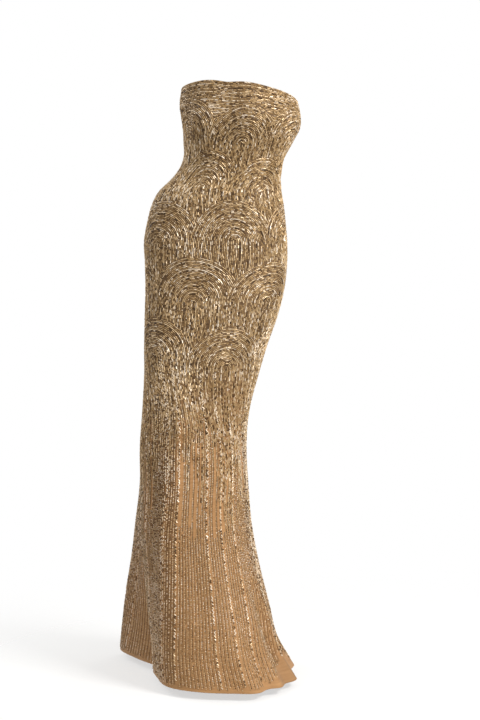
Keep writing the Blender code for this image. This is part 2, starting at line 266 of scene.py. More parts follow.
@dataclass(frozen=True)
class GownForm:
    """The gown's outer face as a formula, the same one that the solids were made with."""

    length: float = 1400
    bust_height: float = 1322
    roundness: float = 2.25
    front_blend: float = 0.3
    cup_angle: float = 27
    cup_width: float = 19
    cup_rise: float = 13
    cup_height: float = 1318
    cup_spread: float = 52
    ease_height: float = 1180
    edge_tilt: float = -0.070
    fold_soft: float = 0.35
    fold_power: float = 1.5

    def body_reach(self, own: Array, half_width: Array, front: Array, back: Array) -> Array:
        """Finds a ring's reach from its centre, a superellipse with two depths.

        Args:
            own: Angles from the ring's own front, in degrees.
            half_width: Half of the ring's width.
            front: How far the front lies from the centre.
            back: How far the back lies from the centre.

        Returns:
            The reach at each angle: one over the root of the summed powers of the two shares.
        """
        cosine = np.cos(np.radians(own))
        sine = np.sin(np.radians(own))
        front_share = 0.5 + 0.5 * np.tanh(cosine / self.front_blend)
        depth = front * front_share + back * (1 - front_share)
        across = np.abs(sine / half_width) ** self.roundness
        along = np.abs(cosine / depth) ** self.roundness
        return (across + along) ** (-1 / self.roundness)

    def cups(self, height: Array, own: Array) -> Array:
        """Finds how far the two cups lift the cloth: a bell over angle times one over height.

        Args:
            height: Heights above the hem, in mm.
            own: Angles from the ring's own front, in degrees.

        Returns:
            The lift at each place, in mm.
        """
        level = bell((height - self.cup_height) / self.cup_spread)
        left = bell((own + self.cup_angle) / self.cup_width)
        right = bell((own - self.cup_angle) / self.cup_width)
        return self.cup_rise * level * (left + right)

    def surface(self, height: Array, own: Array) -> Array:
        """Finds points of the gown's outer face.

        A ring is the body's reach plus the cups, and plus each fold's share of what it adds at
        the hem. That share grows from nothing at the fold's start, part of it as a smoothstep and
        the rest as a power.

        Args:
            height: Heights above the hem, in mm.
            own: Angles from the ring's own front, in degrees, of the same shape.

        Returns:
            The points, in mm, with the frame's axes and origin.
        """
        rising = STATIONS[::-1]
        section = smooth_through(rising[:, 0], rising[:, 1:], height)
        centre_x, centre_y, half_width, front, back, turn = np.moveaxis(section, -1, 0)
        angle = own - turn
        folds = smooth_around(FOLDS[:, 0], FOLDS[:, 1:], angle)
        hem_width, hem_front, hem_back, hem_turn = STATIONS[-1, 3:]
        plain_hem = self.body_reach(angle + hem_turn, hem_width, hem_front, hem_back)
        share = np.clip(1 - height / folds[..., 1], 0, 1)
        growth = self.fold_soft * ease(share) + (1 - self.fold_soft) * share**self.fold_power
        reach = self.body_reach(own, half_width, front, back) + self.cups(height, own)
        reach = reach + (folds[..., 0] - plain_hem) * growth
        x = centre_x + reach * np.sin(np.radians(angle))
        y = centre_y - reach * np.cos(np.radians(angle))
        near_edge = np.clip((height - self.ease_height) / (self.length - self.ease_height), 0, 1)
        edge = smooth_through(NECKLINE[:, 0], NECKLINE[:, 1], np.abs(own)) + self.edge_tilt * x
        return np.stack([x, y, height + edge * near_edge - self.bust_height], axis=-1)


@dataclass
class ClothMap:
    """The gown's cloth unrolled: a fine grid of points and normals over line and height.

    The front's half width and the back's half width, in mm of line, are the same at every height,
    so a constant line runs down the cloth's grain. inside_last keeps the last place that is read
    that many steps inside the count of columns or rows.
    """

    form: GownForm = field(default_factory=GownForm)
    front_half: float = 210
    back_half: float = 203
    line_step: float = 3.5
    height_step: float = 12.5
    search_angles: int = 541
    inside_last: float = 1.001

    def __post_init__(self) -> None:
        """Works the grid out once."""
        self.half_girth = self.front_half + self.back_half
        self.heights = np.arange(0, self.form.length + self.height_step / 2, self.height_step)
        past_end = self.half_girth + self.line_step / 2
        self.lines = np.arange(-self.half_girth, past_end, self.line_step)
        angles = self.own_angles()
        heights = np.broadcast_to(self.heights[:, None], angles.shape)
        self.points = self.form.surface(heights, angles)
        self.points = self.points + self.normals_of(self.points) * self.crease_lift()[..., None]
        self.normals = self.normals_of(self.points)

    def own_angles(self) -> Array:
        """Finds the angle of every grid point, so that each stretch of a ring has even columns.

        Returns:
            Angles from each ring's own front, in degrees, a row for each height.
        """
        stretches = (
            (self.lines < -self.front_half, -180, -90, -self.half_girth, self.back_half),
            (np.abs(self.lines) <= self.front_half, -90, 90, -self.front_half, 2 * self.front_half),
            (self.lines > self.front_half, 90, 180, self.front_half, self.back_half),
        )
        angles = np.zeros((len(self.heights), len(self.lines)))
        for chosen, first, last, start, width in stretches:
            search = np.linspace(first, last, self.search_angles)
            grid = np.broadcast_to(search, (len(self.heights), len(search)))
            points = self.form.surface(np.broadcast_to(self.heights[:, None], grid.shape), grid)
            steps = np.linalg.norm(np.diff(points, axis=1), axis=2)
            share = (self.lines[chosen] - start) / width
            for row, lengths in enumerate(steps):
                travelled = np.concatenate([[0], np.cumsum(lengths)])
                angles[row, chosen] = np.interp(share * travelled[-1], travelled, search)
        return angles

    def normals_of(self, points: Array) -> Array:
        """Finds the direction out of the cloth: the cross of its slopes round and up."""
        up, around = np.gradient(points, axis=(0, 1))
        return unit(np.cross(around, up))

    def crease_lift(self) -> Array:
        """Adds up the creases over the grid.

        Each is a bell across its width times a bell along its length, in its own leaning axes.

        Returns:
            How far each grid point is lifted, in mm.
        """
        line = self.lines[None, :]
        height = self.heights[:, None]
        total = np.zeros((len(self.heights), len(self.lines)))
        for at_line, at_height, lean, half_length, half_width, lift in CREASES:
            slant = math.radians(lean)
            along, across = turned(height - at_height, line - at_line, slant)
            total = total + lift * bell(along / half_length) * bell(across / half_width)
        return total

    def wrapped(self, line: Array) -> Array:
        """Brings lines past the centre back round to the gown's other side."""
        return (line + self.half_girth) % (2 * self.half_girth) - self.half_girth

    def sample(self, grid: Array, line: Array, height: Array) -> Array:
        """Reads a grid between its points, by blending the four around each place.

        Args:
            grid: The points or the normals.
            line: Where round the cloth, in mm.
            height: How far above the hem, in mm.

        Returns:
            A vector for each place.
        """
        columns = len(self.lines) - self.inside_last
        rows = len(self.heights) - self.inside_last
        column = np.clip((line + self.half_girth) / self.line_step, 0, columns)
        row = np.clip(height / self.height_step, 0, rows)
        left = column.astype(int)
        low = row.astype(int)
        across = (column - left)[..., None]
        up = (row - low)[..., None]
        bottom = grid[low, left] * (1 - across) + grid[low, left + 1] * across
        top = grid[low + 1, left] * (1 - across) + grid[low + 1, left + 1] * across
        return bottom * (1 - up) + top * up

    def place(self, line: Array, height: Array, lift: Array | float = 0.0) -> Array:
        """Finds points on the cloth, or above it along its normals.

        Args:
            line: Lines on the cloth, in mm.
            height: Heights, in mm.
            lift: How far above the cloth, in mm.

        Returns:
            The points, in metres.
        """
        points = self.sample(self.points, line, height)
        normals = self.sample(self.normals, line, height)
        return (points + normals * np.asarray(lift)[..., None]) * MM

    def wall(
        self, name: str, lines: Array, heights: Array, front: Array | float, back: float
    ) -> bpy.types.Mesh:
        """Makes a closed wall of cloth between two lifts above the map.

        Args:
            name: The mesh's name.
            lines: The wall's grid of lines in mm, which may run on past the centre back.
            heights: Its heights in mm, of the same shape.
            front: The lift of its outer face in mm.
            back: The lift of its inner face in mm.

        Returns:
            The mesh.
        """
        around = self.wrapped(lines)
        outer = self.place(around, heights, front)
        inner = self.place(around, heights, back)
        return shell_mesh(name, outer, inner, lines, heights)


def make_mesh(name: str, points: Array, faces: Array, smooth: bool) -> bpy.types.Mesh:
    """Makes a mesh from arrays.

    Args:
        name: The mesh's name.
        points: A row of three numbers for each vertex, in metres.
        faces: A row of vertex numbers for each face, all with as many corners.
        smooth: Whether its faces are shaded as one smooth surface.

    Returns:
        The mesh.
    """
    mesh = bpy.data.meshes.new(name)
    mesh.vertices.add(len(points))
    mesh.vertices.foreach_set("co", points.astype(np.float32).ravel())
    mesh.loops.add(faces.size)
    mesh.loops.foreach_set("vertex_index", faces.astype(np.int32).ravel())
    mesh.polygons.add(len(faces))
    starts = np.arange(0, faces.size, faces.shape[1], dtype=np.int32)
    mesh.polygons.foreach_set("loop_start", starts)
    mesh.polygons.foreach_set("use_smooth", np.full(len(faces), smooth))
    mesh.update(calc_edges=True)
    return mesh


def add_piece(mesh: bpy.types.Mesh, slot: str, *materials: bpy.types.Material) -> Piece:
    """Puts a mesh into the scene as a piece of the gown.

    Args:
        mesh: The mesh, whose name the piece gets.
        slot: The record's material slot; not used.
        materials: Its finishes, in the order of their numbers on its faces.

    Returns:
        The piece.
    """
    for material in materials:
        mesh.materials.append(material)
    piece = bpy.data.objects.new(mesh.name, mesh)
    bpy.context.scene.collection.objects.link(piece)
    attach(piece, "gown")
    mesh.calc_loop_triangles()
    log.info("%s: %d triangles", mesh.name, len(mesh.loop_triangles))
    return piece


def set_uv(mesh: bpy.types.Mesh, name: str, at_vertices: Array, faces: Array) -> None:
    """Gives a mesh a UV map from one pair of coordinates for each vertex."""
    layer = mesh.uv_layers.new(name=name)
    layer.uv.foreach_set("vector", at_vertices[faces.ravel()].astype(np.float32).ravel())


class NodeBench:
    """Adds nodes to a tree and joins them."""

    def __init__(self, tree: bpy.types.NodeTree) -> None:
        """Keeps the tree that the nodes go into."""
        self.tree = tree

    def add(
        self, kind: str, values: dict[str | int, object] | None = None, **settings: object
    ) -> bpy.types.Node:
        """Adds a node.

        Args:
            kind: The node's type, without the ShaderNode in front.
            values: What goes into its inputs, by name or number: a value, or an output socket.
            settings: The node's own properties.

        Returns:
            The node.
        """
        node = self.tree.nodes.new("ShaderNode" + kind)
        for name, value in settings.items():
            setattr(node, name, value)
        self.feed(node, values or {})
        return node

    def put(self, socket: Socket, value: object) -> None:
        """Joins an output to a socket, or sets the socket's own value.

        Args:
            socket: The socket.
            value: An output socket, or a plain value.
        """
        if isinstance(value, Socket):
            self.tree.links.new(value, socket)
        else:
            socket.default_value = value

    def feed(self, node: bpy.types.Node, values: dict[str | int, object]) -> None:
        """Puts values or outputs into a node's inputs, by name or number."""
        for name, value in values.items():
            self.put(node.inputs[name], value)

    def maths(self, operation: str, *values: object) -> Socket:
        """Adds a Math node and gives its result."""
        return self.add("Math", dict(enumerate(values)), operation=operation).outputs[0]

    def between(
        self, value: Socket, low: float, high: float, start: float = 0.0, end: float = 1.0
    ) -> Socket:
        """Maps a value from low and high to start and end, and gives the result."""
        return self.add("MapRange", {0: value, 1: low, 2: high, 3: start, 4: end}).outputs[0]

    def relief(self, height: Socket, strength: float, distance: float) -> Socket:
        """Adds a Bump node, with its distance in metres, and gives the bent normal."""
        values = {"Strength": strength, "Distance": distance, "Height": height}
        return self.add("Bump", values).outputs[0]

    def ramp(self, factor: Socket, stops: tuple[tuple[float, Colour], ...]) -> Socket:
        """Adds a colour ramp.

        Args:
            factor: Where along the ramp.
            stops: The place and the colour of each stop.

        Returns:
            The colour.
        """
        node = self.add("ValToRGB", {0: factor})
        elements = node.color_ramp.elements
        while len(elements) < len(stops):
            elements.new(0.5)
        for element, (place, colour) in zip(elements, stops):
            element.position = place
            element.color = (*colour, 1)
        return node.outputs[0]


class SharedGroup:
    """A node group that more than one finish uses, built the first time it's asked for."""

    name = "group"
    inputs: tuple[tuple[str, str, float], ...] = ()
    output = "Value"

    @classmethod
    def tree(cls) -> bpy.types.NodeTree:
        """Finds the group, or builds it.

        Returns:
            The group's tree.
        """
        found = bpy.data.node_groups.get(cls.name)
        if found:
            return found
        made = bpy.data.node_groups.new(cls.name, "ShaderNodeTree")
        for name, kind, value in cls.inputs:
            socket = made.interface.new_socket(name, in_out="INPUT", socket_type=kind)
            if kind == "NodeSocketFloat":
                socket.default_value = value
        made.interface.new_socket(cls.output, in_out="OUTPUT", socket_type="NodeSocketFloat")
        bench = NodeBench(made)
        start = made.nodes.new("NodeGroupInput")
        end = made.nodes.new("NodeGroupOutput")
        bench.put(end.inputs[0], cls.wire(bench, start.outputs))
        return made

    @classmethod
    def on(cls, bench: NodeBench, *values: object) -> Socket:
        """Puts the group into a material.

        Args:
            bench: The material's nodes.
            values: What goes into the group's inputs, in order.

        Returns:
            What it puts out.
        """
        node = bench.tree.nodes.new("ShaderNodeGroup")
        node.node_tree = cls.tree()
        bench.feed(node, dict(enumerate(values)))
        return node.outputs[0]

    @classmethod
    def wire(cls, bench: NodeBench, given: bpy.types.NodeOutputs) -> Socket:
        """Builds what is inside the group.

        Args:
            bench: The group's nodes.
            given: What the group is given, by name.

        Returns:
            What it puts out.
        """
        raise NotImplementedError


class WovenThreads(SharedGroup):
    """A plain weave: threads that pass over and under each other.

    Each yarn's height is a squared sine across it. On a chequer of crossings the yarn that
    runs up is on top, and on the others the one that runs across.
    """

    name = "woven_threads"
    inputs = (
        ("Vector", "NodeSocketVector", 0),
        ("Threads Across", "NodeSocketFloat", 900),
        ("Threads Up", "NodeSocketFloat", 900),
    )
    output = "Height"

    @classmethod
    def wire(cls, bench: NodeBench, given: bpy.types.NodeOutputs) -> Socket:
        """Builds the weave.

        Args:
            bench: The group's nodes.
            given: What the group is given, by name.

        Returns:
            Its height, from 0 to 1.
        """
        apart = bench.add("SeparateXYZ", {0: given["Vector"]})
        across = bench.maths("MULTIPLY", apart.outputs[0], given["Threads Across"])
        up = bench.maths("MULTIPLY", apart.outputs[1], given["Threads Up"])
        heights = []
        for count in (across, up):
            sine = bench.maths("SINE", bench.maths("MULTIPLY", count, math.pi))
            heights.append(bench.maths("MULTIPLY", sine, sine))
        cells = bench.maths("ADD", bench.maths("FLOOR", across), bench.maths("FLOOR", up))
        odd = bench.maths("FLOORED_MODULO", cells, 2.0)
        even = bench.maths("SUBTRACT", 1.0, odd)
        upright = bench.maths("MULTIPLY", heights[0], odd)
        level = bench.maths("MULTIPLY", heights[1], even)
        return bench.maths("ADD", upright, level)


class SoftMottle(SharedGroup):
    """Uneven patches, from 0 to 1, that can be longer one way than the other."""

    name = "soft_mottle"
    inputs = (
        ("Vector", "NodeSocketVector", 0),
        ("Across", "NodeSocketFloat", 20),
        ("Up", "NodeSocketFloat", 20),
        ("Contrast", "NodeSocketFloat", 1),
    )

    @classmethod
    def wire(cls, bench: NodeBench, given: bpy.types.NodeOutputs) -> Socket:
        """Builds the patches from a noise on stretched coordinates.

        Args:
            bench: The group's nodes.
            given: What the group is given, by name.

        Returns:
            Their value.
        """
        scale = bench.add("CombineXYZ", {0: given["Across"], 1: given["Up"], 2: given["Across"]})
        values = {0: given["Vector"], 1: scale.outputs[0]}
        placed = bench.add("VectorMath", values, operation="MULTIPLY")
        noise = bench.add("TexNoise", {"Vector": placed.outputs[0], "Scale": 1.0, "Detail": 3.0})
        centred = bench.maths("SUBTRACT", noise.outputs[0], 0.5)
        spread = bench.maths("MULTIPLY", centred, given["Contrast"])
        return bench.add("Clamp", {"Value": bench.maths("ADD", spread, 0.5)}).outputs[0]


@dataclass(frozen=True)
class Finish:
    """A finish: a material whose own class works out what its shader is given.

    Its patterns lie on the cloth's own map where on_cloth says so, or else on the object's
    coordinates.
    """

    name: str
    on_cloth: ClassVar[bool] = False

    def build(self) -> bpy.types.Material:
        """Makes the material.

        Returns:
            The material, with the values in its Principled shader.
        """
        material = bpy.data.materials.new(self.name)
        material.use_nodes = True
        bench = NodeBench(material.node_tree)
        if self.on_cloth:
            place = bench.add("UVMap", uv_map="cloth").outputs[0]
        else:
            place = bench.add("TexCoord").outputs["Object"]
        shader = material.node_tree.nodes["Principled BSDF"]
        bench.feed(shader, self.values(bench, place))
        return material

    def values(self, bench: NodeBench, place: Socket) -> dict[str, object]:
        """Wires the finish.

        Args:
            bench: The material's nodes.
            place: The coordinates that its patterns lie on.

        Returns:
            What goes into the shader, by name.
        """
        raise NotImplementedError


@dataclass(frozen=True)
class MeshClothFinish(Finish):
    """Fine tan mesh over its lining, with soft slubs across it.

    Above the knee the mesh between the close rows of beads turns brown. This is painted shade
    that stands in for the shadow between the beads. One corner of the hem stands clear of the
    lining and is a little see-through.
    """

    on_cloth: ClassVar[bool] = True
    name: str = "mesh_cloth"
    deep: Colour = (0.350, 0.178, 0.069)
    light: Colour = (0.484, 0.268, 0.116)
    # Painted shade: the brown that the mesh takes between the close beads above the knee, in place
    # of their shadow.
    bead_shade: Colour = (0.145, 0.085, 0.040)
    slubs: Patches = (26.0, 210.0, 1.7)
    clouds: Patches = (15.0, 9.0, 1.3)
    slub_share: float = 0.62
    cloud_share: float = 0.38
    # Heights in metres over which the painted shade between the beads comes in, and how ragged its
    # edge is.
    bead_shade_foot: float = 560 * MM
    bead_shade_head: float = 740 * MM
    bead_shade_ragged: float = 120 * MM
    roughness: float = 0.62
    sheen: float = 0.25
    threads: float = 1600
    thread_height: float = 0.35
    bump: float = 0.25
    bump_depth: float = 0.6 * MM
    sheer: float = 0.72
    sheer_from: float = 88 * MM
    sheer_to: float = 142 * MM
    sheer_head: float = 70 * MM
    sheer_fade: float = 12 * MM

    def colour(self, bench: NodeBench, slubs: Socket, clouds: Socket, height: Socket) -> Socket:
        """Mixes the mesh's own mottled tan with the painted shade between the beads higher up.

        Args:
            bench: The material's nodes.
            slubs: The fine patches.
            clouds: The broad patches.
            height: The height above the hem, in metres.

        Returns:
            The colour.
        """
        fine = bench.maths("MULTIPLY", slubs, self.slub_share)
        broad = bench.maths("MULTIPLY", clouds, self.cloud_share)
        plain = bench.ramp(bench.maths("ADD", fine, broad), ((0.2, self.deep), (0.8, self.light)))
        # Painted shade: above a ragged height the mesh turns to the brown that stands in for the
        # shadow between the beads.
        uneven = bench.maths("ADD", height, bench.maths("MULTIPLY", clouds, self.bead_shade_ragged))
        middle = self.bead_shade_ragged / 2
        bead_shading = bench.between(uneven, self.bead_shade_foot + middle, self.bead_shade_head + middle)
        mixed = bench.add("Mix", {0: bead_shading, 6: plain, 7: (*self.bead_shade, 1)}, data_type="RGBA")
        return mixed.outputs[2]

    def cover(self, bench: NodeBench, line: Socket, height: Socket) -> Socket:
        """Finds how solid the mesh is.

        It is one, and less between two lines low down at the hem's corner: a product of three
        slopes.

        Args:
            bench: The material's nodes.
            line: The line on the cloth, in metres.
            height: The height above the hem, in metres.

        Returns:
            The alpha.
        """
        after = bench.between(line, self.sheer_from, self.sheer_from + self.sheer_fade)
        before = bench.between(line, self.sheer_to + self.sheer_fade, self.sheer_to)
        below = bench.between(height, self.sheer_head, self.sheer_head / 2)
        clear = bench.maths("MULTIPLY", bench.maths("MULTIPLY", after, before), below)
        return bench.between(clear, 0.0, 1.0, 1.0, self.sheer)

    def values(self, bench: NodeBench, place: Socket) -> dict[str, object]:
        """Wires the slubs, clouds and weave, the painted shade between the beads and the sheer
        corner.

        Args:
            bench: The material's nodes.
            place: The cloth's own coordinates, in metres.

        Returns:
            What goes into the shader, by name.
        """
        line, height = bench.add("SeparateXYZ", {0: place}).outputs[:2]
        slubs = SoftMottle.on(bench, place, *self.slubs)
        clouds = SoftMottle.on(bench, place, *self.clouds)
        weave = WovenThreads.on(bench, place, self.threads, self.threads)
        raised = bench.maths("ADD", bench.maths("MULTIPLY", weave, self.thread_height), slubs)
        return {
            "Base Color": self.colour(bench, slubs, clouds, height),
            "Normal": bench.relief(raised, self.bump, self.bump_depth),
            "Alpha": self.cover(bench, line, height),
            "Roughness": self.roughness,
            "Sheen Weight": self.sheen,
            "Sheen Roughness": 0.4,
            "Specular IOR Level": 0.25,
        }


@dataclass(frozen=True)
class SatinFinish(Finish):
    """Smooth lining satin: a dense weave whose long floats give it a low shine."""

    on_cloth: ClassVar[bool] = True
    name: str = "lining_satin"
    deep: Colour = (0.42, 0.27, 0.15)
    light: Colour = (0.54, 0.37, 0.22)
    clouds: Patches = (22.0, 12.0, 1.4)
    roughness: float = 0.42
    threads: float = 2200
    float_length: float = 3
    bump: float = 0.15
    bump_depth: float = 0.3 * MM

    def values(self, bench: NodeBench, place: Socket) -> dict[str, object]:
        """Wires the clouds and the weave.

        Args:
            bench: The material's nodes.
            place: The cloth's own coordinates, in metres.

        Returns:
            What goes into the shader, by name.
        """
        clouds = SoftMottle.on(bench, place, *self.clouds)
        weave = WovenThreads.on(bench, place, self.threads, self.threads / self.float_length)
        return {
            "Base Color": bench.ramp(clouds, ((0.2, self.deep), (0.8, self.light))),
            "Normal": bench.relief(weave, self.bump, self.bump_depth),
            "Roughness": self.roughness,
            "Specular IOR Level": 0.35,
        }


@dataclass(frozen=True)
class TapeFinish(Finish):
    """Woven zip tape and its nylon coil, in the gown's tan."""

    name: str = "zip_tape"
    deep: Colour = (0.30, 0.19, 0.11)
    light: Colour = (0.40, 0.27, 0.16)
    clouds: Patches = (90.0, 90.0, 1.2)
    roughness: float = 0.8
    threads: float = 1400
    bump: float = 0.3
    bump_depth: float = 0.3 * MM

    def values(self, bench: NodeBench, place: Socket) -> dict[str, object]:
        """Wires the clouds and the weave, which both colour the tape.

        Args:
            bench: The material's nodes.
            place: The object's coordinates.

        Returns:
            What goes into the shader, by name.
        """
        clouds = SoftMottle.on(bench, place, *self.clouds)
        weave = WovenThreads.on(bench, place, self.threads, self.threads)
        both = bench.maths("MULTIPLY", bench.maths("ADD", clouds, weave), 0.5)
        return {
            "Base Color": bench.ramp(both, ((0.15, self.deep), (0.8, self.light))),
            "Normal": bench.relief(weave, self.bump, self.bump_depth),
            "Roughness": self.roughness,
        }


@dataclass(frozen=True)
class ZipMetalFinish(Finish):
    """Plated zip metal, brushed along its length, duller where it's handled."""

    name: str = "zip_metal"
    deep: Colour = (0.42, 0.31, 0.17)
    light: Colour = (0.74, 0.60, 0.38)
    brushing: Patches = (5200.0, 300.0, 1.6)
    handling: Patches = (260.0, 260.0, 1.8)
    polished: float = 0.22
    rough: float = 0.46
    bump: float = 0.08
    bump_depth: float = 0.2 * MM

    def values(self, bench: NodeBench, place: Socket) -> dict[str, object]:
        """Wires the brushing and the handling.

        Args:
            bench: The material's nodes.
            place: The object's coordinates.

        Returns:
            What goes into the shader, by name.
        """
        brushed = SoftMottle.on(bench, place, *self.brushing)
        handled = SoftMottle.on(bench, place, *self.handling)
        return {
            "Base Color": bench.ramp(handled, ((0.1, self.deep), (0.75, self.light))),
            "Roughness": bench.between(brushed, 0.0, 1.0, self.polished, self.rough),
            "Normal": bench.relief(brushed, self.bump, self.bump_depth),
            "Metallic": 0.95,
        }


@dataclass(frozen=True)
class BeadFinish(Finish):
    """Glass and metal beads, from dark bronze over gold and champagne to silver.

    Each bead's tone picks its colour, and a fine mottle leaves the plating a little uneven.
    """

    rough: float
    polished: float
    metallic: float = 0.22
    plating: Patches = (420.0, 420.0, 1.5)
    uneven: float = 0.16
    stops: tuple[tuple[float, Colour], ...] = (
        (0.0, (0.055, 0.028, 0.011)),
        (0.20, (0.155, 0.086, 0.034)),
        (0.40, (0.39, 0.240, 0.098)),
        (0.60, (0.55, 0.370, 0.180)),
        (0.80, (0.71, 0.522, 0.305)),
        (1.0, (0.94, 0.80, 0.63)),
    )

    def values(self, bench: NodeBench, place: Socket) -> dict[str, object]:
        """Wires the beads' tones and their plating.

        Args:
            bench: The material's nodes.
            place: The object's coordinates.

        Returns:
            What goes into the shader, by name.
        """
        tone = bench.add("Attribute", attribute_name="tone").outputs["Fac"]
        plating = SoftMottle.on(bench, place, *self.plating)
        shift = bench.maths("MULTIPLY", bench.maths("SUBTRACT", plating, 0.5), self.uneven)
        return {
            "Base Color": bench.ramp(bench.maths("ADD", tone, shift), self.stops),
            "Roughness": bench.between(plating, 0.0, 1.0, self.polished, self.rough),
            "Metallic": self.metallic,
        }


class Side(Enum):
    """The gown's three panels."""

    FRONT = "front"
    BACK_LEFT = "back_left"
    BACK_RIGHT = "back_right"


@dataclass(frozen=True)
class Cut:
    """A sheet laid flat, as it was cut before it was sewn and hung.

    width and length are in metres, and area, where the cut isn't a rectangle, in square metres.
    """

    width: float
    length: float
    area: float | None = None


@dataclass
class ClothPanel:
    """One outer panel: a thin shell on the cloth map, mesh outside and satin inside.

    Its outer face is the map's own grid, and its inner face is that grid moved into the cloth.
    Along its seams the outer face dips a little, as stitches pull it in.
    """

    side: Side
    cloth: ClothMap
    wall: float = 2.0
    seam_trim: float = 0.15
    zip_trim: float = 0.8
    zip_foot: float = 902
    seam_dip: float = 0.5

    def line_span(self) -> tuple[float, float]:
        """Finds which stretch of the cloth the panel covers.

        Returns:
            Its first and last line, in mm.
        """
        whole = self.cloth.half_girth
        seam = self.cloth.front_half
        spans = {
            Side.FRONT: (-seam, seam),
            Side.BACK_LEFT: (-whole, -seam),
            Side.BACK_RIGHT: (seam, whole),
        }
        return spans[self.side]

    def grid_lines(self) -> Array:
        """Finds the lines of the panel's grid, trimmed at the seams and the zip.

        Returns:
            Lines in mm, a row for each height.
        """
        first, last = self.line_span()
        heights = self.cloth.heights
        count = round((last - first) / self.cloth.line_step) + 1
        lines = np.tile(np.linspace(first, last, count), (len(heights), 1))
        beside_zip = np.where(heights > self.zip_foot, self.zip_trim, self.seam_trim)
        lines[:, 0] += beside_zip if self.side is Side.BACK_LEFT else self.seam_trim
        lines[:, -1] -= beside_zip if self.side is Side.BACK_RIGHT else self.seam_trim
        return lines

    def build(self, outside: bpy.types.Material, inside: bpy.types.Material) -> Piece:
        """Makes the panel in place of its solid.

        Args:
            outside: The finish of its outer face and edges.
            inside: The finish of its inner face.

        Returns:
            The piece.
        """
        lines = self.grid_lines()
        heights = np.broadcast_to(self.cloth.heights[:, None], lines.shape)
        dip = np.zeros(lines.shape)
        dip[:, [0, -1]] = -self.seam_dip
        name = self.side.value
        mesh = self.cloth.wall(f"{name}_cloth", lines, heights, dip, -self.wall)
        piece = add_piece(mesh, "beaded_mesh", outside, inside)
        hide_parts(f"{name}_panel")
        return piece


SHARP_ANGLE = math.radians(60)


def shell_mesh(
    name: str, outer: Array, inner: Array, lines: Array, heights: Array
) -> bpy.types.Mesh:
    """Makes a closed wall between two grids of points, one outside the other.

    Args:
        name: The mesh's name.
        outer: The outer face's points, rows from low to high and columns round the gown.
        inner: The inner face's points, of the same shape.
        lines: Each point's line in mm, for the UV map.
        heights: Each point's height in mm, for the UV map.

    Returns:
        The mesh. Its inner face wears the second material.
    """
    rows, columns = outer.shape[:2]
    index = np.arange(rows * columns).reshape(rows, columns)
    quads = np.stack([index[:-1, :-1], index[:-1, 1:], index[1:, 1:], index[1:, :-1]], axis=-1)
    outside = quads.reshape(-1, 4)
    inside = outside[:, ::-1] + rows * columns
    rim = np.concatenate([index[0], index[1:, -1], index[-1, -2::-1], index[-2:0:-1, 0]])
    after = np.roll(rim, -1)
    edge = np.stack([rim, rim + rows * columns, after + rows * columns, after], axis=1)
    faces = np.concatenate([outside, inside, edge])
    points = np.concatenate([outer.reshape(-1, 3), inner.reshape(-1, 3)])
    mesh = make_mesh(name, points, faces, smooth=True)
    place = np.stack([lines.ravel(), heights.ravel()], axis=1) * MM
    set_uv(mesh, "cloth", np.concatenate([place, place]), faces)
    wears = np.zeros(len(faces), np.int32)
    wears[len(outside) : len(outside) * 2] = 1
    mesh.polygons.foreach_set("material_index", wears)
    mesh.set_sharp_from_angle(angle=SHARP_ANGLE)
    return mesh


@dataclass
class Lining:
    """The loose lower band of lining, inside the front or across both backs."""

    cloth: ClothMap
    foot: float = 36
    head: float = 360
    depth: float = 2.5
    wall: float = 1.0
    seam_gap: float = 0.3
    columns: int = 90
    rows: int = 28

    def build(self, front: bool, finish: bpy.types.Material) -> Piece:
        """Makes one band in place of its solid.

        Args:
            front: Whether it's the front's band.
            finish: The lining's satin.

        Returns:
            The piece.
        """
        seam = self.cloth.front_half
        first, last = (-seam, seam) if front else (seam, 2 * self.cloth.half_girth - seam)
        lines, heights = np.meshgrid(
            np.linspace(first + self.seam_gap, last - self.seam_gap, self.columns + 1),
            np.linspace(self.foot, self.head, self.rows + 1),
        )
        name = "lining_front" if front else "lining_back"
        back = -self.depth - self.wall
        mesh = self.cloth.wall(f"{name}_band", lines, heights, -self.depth, back)
        piece = add_piece(mesh, "lining_satin", finish, finish)
        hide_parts(name)
        return piece


